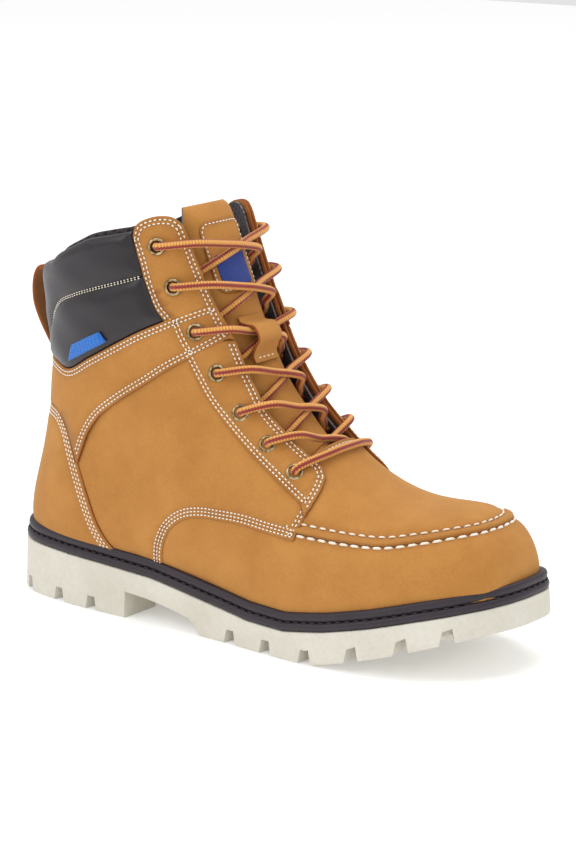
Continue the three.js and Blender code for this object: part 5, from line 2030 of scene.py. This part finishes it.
    def gussets(self) -> None:
        """Folded gussets between the tongue's edges and the inside of the throat."""
        fin = self.shop.finishes
        for side in Side:
            sign = float(side.value)
            rows = np.linspace(13.6, 18.0, 54)
            cols = 15
            ids = np.linspace(0.0, 1.0, cols)
            outer = []
            for k, u in enumerate(rows):
                a = self._across(np.array([u]), np.array([sign * (self.half_width - 0.6)]))[0]
                b = self._across(np.array([u]), np.array([sign * (self.half_width + 10.5)]))[0]
                turn = a + (b - a) * ids
                tuck = -(self.lift + 1.2) + (self.lift + 1.2 - 4.6) * ramp(ids, 0.1, 0.95)
                fold = -3.4 * np.sin(math.pi * ids) ** 2 * (1.0 + 0.35 * math.sin(k / 3.1))
                fold = fold + 0.5 * np.sin(k / 1.9 + 5.0 * ids)
                outer.append(FORM.lifted(np.full(cols, u), turn, tuck + fold))
            top = np.array(outer)
            normal = np.cross(np.gradient(top, axis=0), np.gradient(top, axis=1))
            normal /= np.maximum(np.linalg.norm(normal, axis=2, keepdims=True), 1e-9)
            under = top + normal * 0.6
            r, c = top.shape[:2]
            verts = np.vstack([top.reshape(-1, 3), under.reshape(-1, 3)])
            faces = []
            for i in range(r - 1):
                for j in range(c - 1):
                    quad = (i * c + j, i * c + j + 1, (i + 1) * c + j + 1, (i + 1) * c + j)
                    faces.append(quad)
                    faces.append(tuple(q + r * c for q in quad[::-1]))
            ring = ([j for j in range(c)] + [i * c + c - 1 for i in range(1, r)]
                    + [(r - 1) * c + j for j in range(c - 2, -1, -1)] + [i * c for i in range(r - 2, 0, -1)])
            for a, b in zip(ring, ring[1:] + ring[:1]):
                faces.append((b, a, a + r * c, b + r * c))
            run = np.stack(np.meshgrid(np.arange(c) * 1.2, np.arange(r) * 1.6), axis=-1).reshape(-1, 2)
            piece = mesh_object(f"gusset_{side.word}_nylon", verts, faces, np.vstack([run, run]) * MM)
            fix_winding(piece)
            dress(piece, [fin.gusset], "boot", [f"gusset_{side.word}"])

    def keeper(self) -> None:
        """Leather loop that holds the laces to the tongue."""
        low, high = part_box("lace_keeper")
        fin = self.shop.finishes
        low_mm = np.array(low) / MM - Place.shift
        high_mm = np.array(high) / MM - Place.shift
        y0, y1 = low_mm[1], high_mm[1]
        middle_u = (self._u_of(2) + self._u_of(3)) / 2.0
        base = FORM.lifted(np.array([middle_u]), np.array([0.0]), np.array([-self.lift]))[0]
        ahead = FORM.point(np.array([middle_u]), np.array([0.0]))[0] - FORM.point(
            np.array([middle_u - 1.2]), np.array([0.0]))[0]
        slope = ahead / np.linalg.norm(ahead)
        up = np.array([slope[2], 0.0, -slope[0]])
        arch = 9.3
        line = spline([[-12.6, 1.0], [-8.5, 1.4], [-5, arch * 0.55], [-2.5, arch - 0.4], [1, arch + 0.2],
                       [4.5, arch - 0.6], [7, arch * 0.5], [10, 1.3], [12.4, 1.2]], 0.8)
        spine = base + line[:, :1] * slope + line[:, 1:] * up
        piece = strap("lace_keeper_nubuck", spine, np.array([0.0, 1.0, 0.0]), y0, y1, 1.5, 0.5,
                      taper=lambda t: 1.0 - 0.12 * t)
        dress(piece, [fin.nubuck, fin.raw_edge], "boot", ["lace_keeper"])
        seat = spine[3]
        ends = np.stack([seat + np.array([0.0, y, 0.0]) + up * 0.75
                         for y in np.linspace(y0 + 3.0, y1 - 3.0, 20)])
        route = (ends, np.tile(up, (len(ends), 1)), StitchRow(ends, 3.0, 2.2, 0.36))
        sewn = stitches("lace_keeper_nubuck_stitches", [route])
        dress(sewn, [fin.thread], "boot")

    def _u_of(self, row: int) -> float:
        """Station number of an eyelet row.

        Args:
            row: Row number from the top, 0 first.

        Returns:
            The station number.
        """
        x, z = Pattern.eyelets[row]
        return float(FORM.locate(np.array([x]), np.array([z]))[0][0])


def fix_winding(piece: bpy.types.Object) -> None:
    """Turns a closed mesh's faces outwards.

    Args:
        piece: The piece.
    """
    mesh = bmesh.new()
    mesh.from_mesh(piece.data)
    bmesh.ops.recalc_face_normals(mesh, faces=mesh.faces)
    mesh.to_mesh(piece.data)
    mesh.free()


def strap(name: str, spine: Array, across: Array, y0: float, y1: float, thickness: float, rounding: float,
          taper: Optional[Callable[[float], float]] = None) -> bpy.types.Object:
    """A leather strip with rounded edges that follows a line.

    Args:
        name: The object's name.
        spine: The strip's middle line.
        across: Unit vector of its width.
        y0: Where the strip's width starts.
        y1: Where it ends.
        thickness: The strip's thickness.
        rounding: Radius of its edges.
        taper: Width factor against the share of the length, or None.

    Returns:
        The new object; its two long edges are on material 1.
    """
    way = np.gradient(spine, axis=0)
    way /= np.linalg.norm(way, axis=1, keepdims=True)
    lift = np.cross(way, across)
    lift /= np.linalg.norm(lift, axis=1, keepdims=True)
    half, t = (y1 - y0) / 2.0, thickness / 2.0
    middle = (y0 + y1) / 2.0
    profile = []
    for sx, sy, a0 in ((1, 1, 0.0), (-1, 1, 90.0), (-1, -1, 180.0), (1, -1, 270.0)):
        for a in np.radians(np.linspace(a0, a0 + 90.0, 4)):
            profile.append((sx * (half - rounding) + rounding * math.cos(a),
                            sy * (t - rounding) + rounding * math.sin(a)))
    for k, w in enumerate(np.linspace(-0.8, 0.8, 7)):
        profile.insert(4 + k, (-w * (half - rounding), t))
    for k, w in enumerate(np.linspace(-0.8, 0.8, 7)):
        profile.insert(4 + 7 + 8 + k, (w * (half - rounding), -t))
    n = len(profile)
    points, uvs = [], []
    run = lengths(spine)
    for k in range(len(spine)):
        factor = taper(run[k] / run[-1]) if taper else 1.0
        for a, b in profile:
            points.append(spine[k] + across * (middle + a * factor) + lift[k] * b)
            uvs.append((a, run[k]))
    at_edge = [abs(a) > half - 0.6 * rounding for a, _ in profile]
    slots = [int(at_edge[k] and at_edge[(k + 1) % n]) for k in range(n)] * (len(spine) - 1) + [1, 1]
    piece = mesh_object(name, np.array(points), tube_faces(len(spine), n), np.array(uvs) * MM, slots)
    fix_winding(piece)
    return piece


@dataclass
class Trims:
    """Pull loop at the heel."""

    finishes: Finishes
    loop_width: float = 20.0
    loop_thickness: float = 1.8

    def build(self) -> None:
        """Makes the loop."""
        side_line = spline([[19.5, 168.5], [16.6, 170.5], [13.5, 172], [10, 171], [7.4, 167], [6.2, 160],
                            [6.8, 152.5], [9.4, 145.5], [13, 139], [16.8, 133], [19, 129.8]], 1.2)
        spine = np.stack([side_line[:, 0], np.zeros(len(side_line)), side_line[:, 1]], axis=1)
        piece = strap("pull_loop_suede", spine, np.array([0.0, 1.0, 0.0]), -self.loop_width / 2,
                      self.loop_width / 2, self.loop_thickness, 0.5)
        dress(piece, [self.finishes.suede, self.finishes.raw_edge], "boot", ["pull_loop"])


@dataclass
class Sole:
    """Lugged outsole with its notches and hollow breast, and the welt and rand above it."""

    finishes: Finishes
    breast_x: float = 92.0
    breast_radius: float = 24.0
    breast_hollow: float = 10.0
    breast_y: float = 3.0
    arch_back: float = 91.5
    arch_front: float = 143.5
    arch_height: float = 14.0
    notch_depth: float = 13.0
    notch_height: float = 7.2
    notch_low: float = 8.0
    notch_top: float = 5.0
    edge_round: float = 0.9
    notches: tuple = (17, 44, 68, 164, 189, 215, 242, 268, 289)

    ground_line = [[-20, 0], [216, 0], [229, 2.6], [242, 5.8], [258, 10.2], [274, 15], [290, 19.8],
                   [303, 23.4], [330, 28]]
    arch_line = [[91.5, 14], [108, 12.6], [119, 11], [129, 9.2], [137, 7.4], [143.5, 0]]

    def under(self, x: Array, y: Array) -> Array:
        """Height of the underside.

        Args:
            x: Where, along the boot.
            y: Where, across it.

        Returns:
            The height over the ground.
        """
        reach = np.clip(self.breast_radius**2 - (y - self.breast_y) ** 2, 0.0, None)
        hollow = self.breast_x + self.breast_radius - self.breast_hollow - np.sqrt(reach)
        breast = np.minimum(hollow, self.breast_x)
        flat = reading(self.ground_line, x)
        arch = np.where(x < self.arch_back, self.arch_height, reading(self.arch_line, x))
        return np.where((x > breast) & (x < self.arch_front), np.maximum(arch, flat), flat)

    def _edge(self) -> tuple[Array, Array, Array]:
        """The dense outline with its run and inward normals.

        Returns:
            Points, inward unit normals, and running length.
        """
        line = spline(Pattern.sole_outline, 0.5, closed=True)
        way = np.roll(line, -1, axis=0) - np.roll(line, 1, axis=0)
        way /= np.linalg.norm(way, axis=1, keepdims=True)
        inward = np.stack([-way[:, 1], way[:, 0]], axis=1)
        if not inside((line + inward * 3.0)[:1], line)[0]:
            inward = -inward
        run = np.concatenate([[0.0], np.cumsum(np.linalg.norm(np.diff(line, axis=0), axis=1))])
        return line, inward, run

    def outsole(self) -> None:
        """Builds the outsole as columns round its edge, closed above and below."""
        line, inward, run = self._edge()
        total = run[-1] + np.linalg.norm(line[0] - line[-1])

        def at(s: Array) -> tuple[Array, Array]:
            """The outline's point and inward normal at a running length."""
            s = np.mod(s, total)
            wrapped = np.vstack([line, line[:1]])
            normals = np.vstack([inward, inward[:1]])
            marks = np.append(run, total)
            p = np.stack([np.interp(s, marks, wrapped[:, k]) for k in range(2)], axis=1)
            n = np.stack([np.interp(s, marks, normals[:, k]) for k in range(2)], axis=1)
            return p, n / np.linalg.norm(n, axis=1, keepdims=True)

        columns: list[tuple[float, float, float]] = []  # run low, run high, depth
        centres = []
        for side in (-1, 1):
            on_side = np.where(line[:, 1] * side > 0)[0]
            for x in self.notches:
                k = on_side[np.argmin(np.abs(line[on_side, 0] - x))]
                centres.append(run[k])
        spans = []
        for centre in centres:
            low, top = self.notch_low / 2, self.notch_top / 2
            spans.append((centre - low - 1.2, centre + low + 1.2))
            columns += [(centre - low - 0.7, centre - top - 0.7, 0.0), (centre - low, centre - top, 0.12),
                        (centre - low + 0.25, centre - top + 0.2, self.notch_depth),
                        (centre, centre, self.notch_depth),
                        (centre + low - 0.25, centre + top - 0.2, self.notch_depth),
                        (centre + low, centre + top, 0.12), (centre + low + 0.7, centre + top + 0.7, 0.0)]
        for s in np.arange(0.0, total, 2.4):
            turns = (s, s - total, s + total)
            if not any(a < t < b for a, b in spans for t in turns):
                columns.append((s, s, 0.0))
        for side in (-1, 1):
            on_side = np.where(line[:, 1] * side > 0)[0]
            for x in (self.breast_x, self.arch_front):
                k = on_side[np.argmin(np.abs(line[on_side, 0] - x))]
                s = run[k]
                for away in (-0.35, 0.35):
                    columns.append((s + away, s + away, 0.0))
        columns.sort(key=lambda c: (c[0] + c[1]) / 2)
        low_run = np.array([c[0] for c in columns])
        top_run = np.array([c[1] for c in columns])
        depth = np.array([c[2] for c in columns])
        p_low, n_low = at(low_run)
        p_top, n_top = at(top_run)
        ceiling = reading(Pattern.sole_top, p_top[:, 0])
        floor = self.under(p_low[:, 0], p_low[:, 1])
        roof = np.minimum(floor + self.notch_height, ceiling - 3.0)
        e = self.edge_round
        levels = [(ceiling, 0.7, 1.0, 0), (ceiling - 0.25, 0.2, 1.0, 0), (ceiling - 0.8, 0.0, 1.0, 0)]
        for share in (0.25, 0.5, 0.75):
            levels.append((ceiling - 0.8 + (roof + 0.6 - ceiling + 0.8) * share, 0.0, 1.0, 0))
        levels += [(roof + 0.6, 0.0, 1.0, 0), (roof + 0.05, 0.0, 1.0, 1), (roof - 0.05, 0.0, 1.0, 2),
                   ((roof + floor) / 2, 0.0, 0.5, 2), (floor + e, 0.0, 0.1, 2),
                   (floor + 0.3 * e, 0.25 * e, 0.0, 2), (floor, e, 0.0, 2)]
        rings, marks = [], []
        for z, inset, share, kind in levels:
            p = p_top * share + p_low * (1 - share)
            n = n_top * share + n_low * (1 - share)
            cut = depth if kind == 2 else (np.minimum(depth, 0.3) if kind == 1 else 0.0)
            # A little draft: the wall leans out towards the ground.
            lean = 0.8 * np.clip((z - floor) / np.maximum(ceiling - floor, 1.0), 0.0, 1.0)
            xy = p + n * (inset + cut + lean)[:, None]
            rings.append(np.column_stack([xy, np.broadcast_to(z, len(xy))]))
            marks.append(np.broadcast_to(np.asarray(cut), len(xy)))
        verts = np.vstack(rings)
        cut_marks = np.concatenate(marks)
        n = len(columns)
        faces = ring_faces(len(levels), n)
        # Faces deep in the notches take the darker cream: painted shade in the recesses.
        slots = [1 if cut_marks[list(face)].max() > 2.0 else 0 for face in faces]
        bottom = verts[(len(levels) - 1) * n :]
        top = verts[:n]
        faces, slots, verts = self._cap(faces, slots, verts, top, 0, False)
        faces, slots, verts = self._cap(faces, slots, verts, bottom, (len(levels) - 1) * n, True)
        piece = mesh_object("outsole_rubber", verts, faces, slots=slots)
        fix_winding(piece)
        self._chevrons(piece)
        dress(piece, [self.finishes.cream, self.finishes.cream_recess_painted_shade], "boot", ["outsole"])
        for polygon in piece.data.polygons:
            polygon.use_smooth = True
        sharp_edges(piece, 38.0)
        LOG.info("outsole: %d faces", len(piece.data.polygons))

    def _cap(self, faces: list, slots: list, verts: Array, ring: Array, first: int,
             under: bool) -> tuple[list, list, Array]:
        """Closes one end of the columns.

        Args:
            faces: Faces so far.
            slots: Material numbers so far.
            verts: Vertices so far.
            ring: The end ring's points.
            first: The vertex number of the ring's first point.
            under: Whether it is the underside.

        Returns:
            The longer lists of faces, slots and vertices.
        """
        flat = ring[:, :2]
        low, high = flat.min(0), flat.max(0)
        gx, gy = np.meshgrid(np.arange(low[0], high[0], 6.0), np.arange(low[1], high[1], 6.0))
        extra = np.stack([gx.ravel(), gy.ravel()], axis=1)
        if under:
            ys = np.arange(-40.0, 34.0, 2.0)
            reach = np.clip(self.breast_radius**2 - (ys - self.breast_y) ** 2, 0.0, None)
            hollow = self.breast_x + self.breast_radius - self.breast_hollow - np.sqrt(reach)
            curve = np.minimum(hollow, self.breast_x)
            away = np.abs(extra[:, 0] - np.interp(extra[:, 1], ys, curve)) > 2.5
            extra = extra[away]
            for shift in (-0.12, 0.12):
                extra = np.vstack([extra, np.stack([curve + shift, ys], axis=1)])
            for x in (143.4, 143.7, 137.0):
                extra = np.vstack([extra, np.stack([np.full(24, x), np.linspace(-42, 36, 24)], axis=1)])
        extra = extra[inside(extra, flat)]
        extra = extra[polyline_distance(extra, flat, closed=True) > 1.0]
        laid = np.vstack([flat, extra])
        edges = [(k, (k + 1) % len(flat)) for k in range(len(flat))]
        made = delaunay_2d_cdt([Vector(p) for p in laid], edges, [], 1, 1e-6)
        out = np.array([tuple(v) for v in made[0]])
        if under:
            z = self.under(out[:, 0], out[:, 1])
        else:
            z = reading(Pattern.sole_top, out[:, 0])
        start = len(verts)
        mapping = {}
        for k, sources in enumerate(made[3]):
            for s in sources:
                if s < len(flat):
                    mapping[k] = first + s
        added = []
        for k in range(len(out)):
            if k not in mapping:
                mapping[k] = start + len(added)
                added.append([out[k, 0], out[k, 1], z[k]])
        for face in made[2]:
            faces.append(tuple(mapping[i] for i in face))
            # The underside takes the darker cream as well: painted shade under the sole.
            slots.append(1 if under else 0)
        if added:
            verts = np.vstack([verts, np.array(added)])
        return faces, slots, verts

    def _chevrons(self, piece: bpy.types.Object) -> None:
        """Cuts the V grooves across the tread.

        Args:
            piece: The outsole.
        """
        points, faces = [], []
        for x, half in ((176, 30), (202, 32), (228, 32), (255, 28), (28, 18), (54, 20)):
            z = float(reading(self.ground_line, x))
            w = 3.0
            loop = [(x - w, -half), (x + w, -half), (x + w + 7, 0), (x + w, half), (x - w, half),
                    (x - w + 7, 0)]
            first = len(points)
            points += [(a, b, z - 10.0) for a, b in loop] + [(a, b, z + 4.0) for a, b in loop]
            faces.append(tuple(first + k for k in range(6))[::-1])
            faces.append(tuple(first + 6 + k for k in range(6)))
            for k in range(6):
                m = (k + 1) % 6
                faces.append((first + k, first + m, first + 6 + m, first + 6 + k))
        cutter = mesh_object("tread_cutter", np.array(points, float), faces)
        fix_winding(cutter)
        cut = piece.modifiers.new("tread", "BOOLEAN")
        cut.operation, cut.object, cut.solver = "DIFFERENCE", cutter, "EXACT"
        graph = bpy.context.evaluated_depsgraph_get()
        done = bpy.data.meshes.new_from_object(piece.evaluated_get(graph))
        piece.modifiers.clear()
        old = piece.data
        piece.data = done
        bpy.data.meshes.remove(old)
        bpy.data.objects.remove(cutter)
        piece.data.materials.clear()

    def _band(self, name: str, profile: Sequence[tuple[float, float]]) -> bpy.types.Object:
        """A closed band that follows the sole's edge.

        Args:
            name: The object's name.
            profile: Inset from the outsole's edge and height over its top, as a closed section.

        Returns:
            The new object.
        """
        line, inward, _ = self._edge()
        line, inward = line[::4], inward[::4]
        points = []
        for inset, height in profile:
            xy = line + inward * inset
            z = reading(Pattern.sole_top, xy[:, 0]) + height
            points.append(np.column_stack([xy, z]))
        piece = mesh_object(name, np.vstack(points), ring_faces(len(profile), len(line), closed=True))
        fix_winding(piece)
        return piece

    def bands(self) -> None:
        """The welt, the rand and the stitched groove between them."""
        fin = self.finishes
        welt = self._band("welt_rubber", [
            (9.0, 0.3), (1.9, 0.3), (1.35, 0.55), (0.95, 1.2), (0.8, 2.2), (1.0, 3.3), (1.5, 4.1),
            (2.2, 4.5), (3.0, 4.45), (3.3, 4.0), (3.8, 3.7), (12.0, 3.7)])
        dress(welt, [fin.dark_rubber], "boot", ["welt"])
        rand = self._band("rand_rubber", [
            (13.0, 4.0), (4.0, 4.0), (3.2, 4.5), (2.5, 5.1), (2.05, 6.0), (1.9, 7.2), (2.05, 8.2),
            (2.5, 9.0), (3.2, 9.5), (4.2, 9.7), (5.4, 9.6), (6.4, 9.1), (13.0, 8.9)])
        dress(rand, [fin.dark_rubber], "boot", ["rand"])
        # Dark capsules in the groove: the stitches, plus painted shadow in the slots that they sit in.
        line, inward, _ = self._edge()
        spots = line + inward * 2.2
        path = np.column_stack([spots, reading(Pattern.sole_top, spots[:, 0]) + 4.55])
        out = np.column_stack([-inward * 0.75, np.full(len(inward), 0.66)])
        path, out = np.vstack([path, path[:1]]), np.vstack([out, out[:1]])
        sewn = stitches("welt_stitches", [(path, out, StitchRow(path, 5.2, 3.7, 0.5, 0.1))])
        dress(sewn, [fin.dark_thread_and_slot_shade], "boot")


def sharp_edges(piece: bpy.types.Object, degrees: float) -> None:
    """Keeps edges above an angle crisp while the rest stays smooth.

    Args:
        piece: The piece.
        degrees: The angle.
    """
    mesh = bmesh.new()
    mesh.from_mesh(piece.data)
    limit = math.radians(degrees)
    for edge in mesh.edges:
        if len(edge.link_faces) == 2:
            edge.smooth = edge.calc_face_angle(0.0) < limit
        else:
            edge.smooth = False
    mesh.to_mesh(piece.data)
    mesh.free()


def dress_cad_nodes(finishes: Finishes) -> None:
    """Gives the hidden CAD nodes that stay as they are their real materials.

    Args:
        finishes: The boot's materials.
    """
    wanted = {"steel_toe_cap": finishes.steel, "steel_shank": finishes.steel,
              "toe_cap_strip": finishes.plastic, "heel_counter": finishes.plastic,
              "insole_board": finishes.board, "footbed": finishes.footbed,
              "vamp_lining": finishes.lining}
    for name, material in wanted.items():
        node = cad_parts[name]
        node.data.materials.clear()
        node.data.materials.append(material)


class Studio:
    """Pale floor, soft lights and the camera."""

    TARGET = (165.0, 0.0, 80.0)
    AZIMUTH, ELEVATION, DISTANCE = 35.8, 13.8, 1600.0
    LENS_MM, SENSOR_MM = 130.7, 36.0

    def build(self) -> None:
        """Makes the floor, the lights and the camera."""
        scene = bpy.context.scene
        corners = np.array([[-3, -3, 0], [3, -3, 0], [3, 3, 0], [-3, 3, 0]], float)
        floor = mesh_object("studio_floor", corners, [(0, 1, 2, 3)], millimetres=False)
        material, _, shader = blank("painted_cove")
        shader.inputs["Base Color"].default_value = linear("#f4f4f4")
        shader.inputs["Roughness"].default_value = 0.9
        shader.inputs["Emission Color"].default_value = (1.0, 1.0, 1.0, 1.0)
        shader.inputs["Emission Strength"].default_value = 0.22
        floor.data.materials.append(material)
        world = bpy.data.worlds.new("studio_air")
        scene.world = world
        world.use_nodes = True
        background = world.node_tree.nodes["Background"]
        background.inputs["Color"].default_value = (1.0, 1.0, 1.0, 1.0)
        background.inputs["Strength"].default_value = 0.78
        self._lamp("key", (-0.9, -1.5, 1.6), (0.0, 0.0, 0.08), 1.3, 11.0)
        self._lamp("front", (1.7, -1.3, 1.2), (0.03, 0.0, 0.08), 1.2, 3.0)
        self._lamp("top", (0.2, 0.3, 2.2), (0.0, 0.0, 0.0), 1.6, 22.0)
        camera_data = bpy.data.cameras.new("camera")
        camera_data.sensor_width = self.SENSOR_MM
        camera_data.lens = self.LENS_MM
        camera_data.shift_x = 0.8 / 864.0
        camera_data.shift_y = 39.7 / 864.0
        camera = bpy.data.objects.new("camera", camera_data)
        scene.collection.objects.link(camera)
        a, e = math.radians(self.AZIMUTH), math.radians(self.ELEVATION)
        back = Vector((math.sin(a) * math.cos(e), -math.cos(a) * math.cos(e), math.sin(e)))
        target = Vector(Place.metres([self.TARGET])[0])
        camera.location = target + back * self.DISTANCE * MM
        camera.rotation_mode = "QUATERNION"
        camera.rotation_quaternion = (-back).to_track_quat("-Z", "Y")
        scene.camera = camera
        scene.view_settings.view_transform = "Standard"

    def _lamp(self, name: str, where: tuple, towards: tuple, size: float, power: float) -> None:
        """A square soft light.

        Args:
            name: The light's name.
            where: Its place in metres.
            towards: What it faces.
            size: Its side in metres.
            power: Its power in watts.
        """
        data = bpy.data.lights.new(name, "AREA")
        data.shape, data.size, data.energy = "SQUARE", size, power
        lamp = bpy.data.objects.new(name, data)
        lamp.location = where
        way = Vector(towards) - Vector(where)
        lamp.rotation_mode = "QUATERNION"
        lamp.rotation_quaternion = way.to_track_quat("-Z", "Y")
        bpy.context.scene.collection.objects.link(lamp)


def main() -> None:
    """Builds the boot piece by piece."""
    logging.basicConfig(level=logging.INFO, format="%(name)s %(message)s")
    Studio().build()
    finishes = Finishes()
    shop = Workshop(finishes)
    LOG.info("sole")
    sole = Sole(finishes)
    sole.outsole()
    sole.bands()
    LOG.info("upper")
    upper = Upper(shop)
    upper.vamp()
    upper.quarters()
    upper.overlays()
    upper.collar()
    upper.linings()
    LOG.info("tongue")
    tongue = Tongue(shop)
    tongue.leather()
    tongue.patch()
    tongue.gussets()
    tongue.keeper()
    LOG.info("eyelets and lace")
    Eyelets(finishes).build()
    Lace(finishes).build()
    Trims(finishes).build()
    dress_cad_nodes(finishes)


if __name__ == "__main__":
    main()
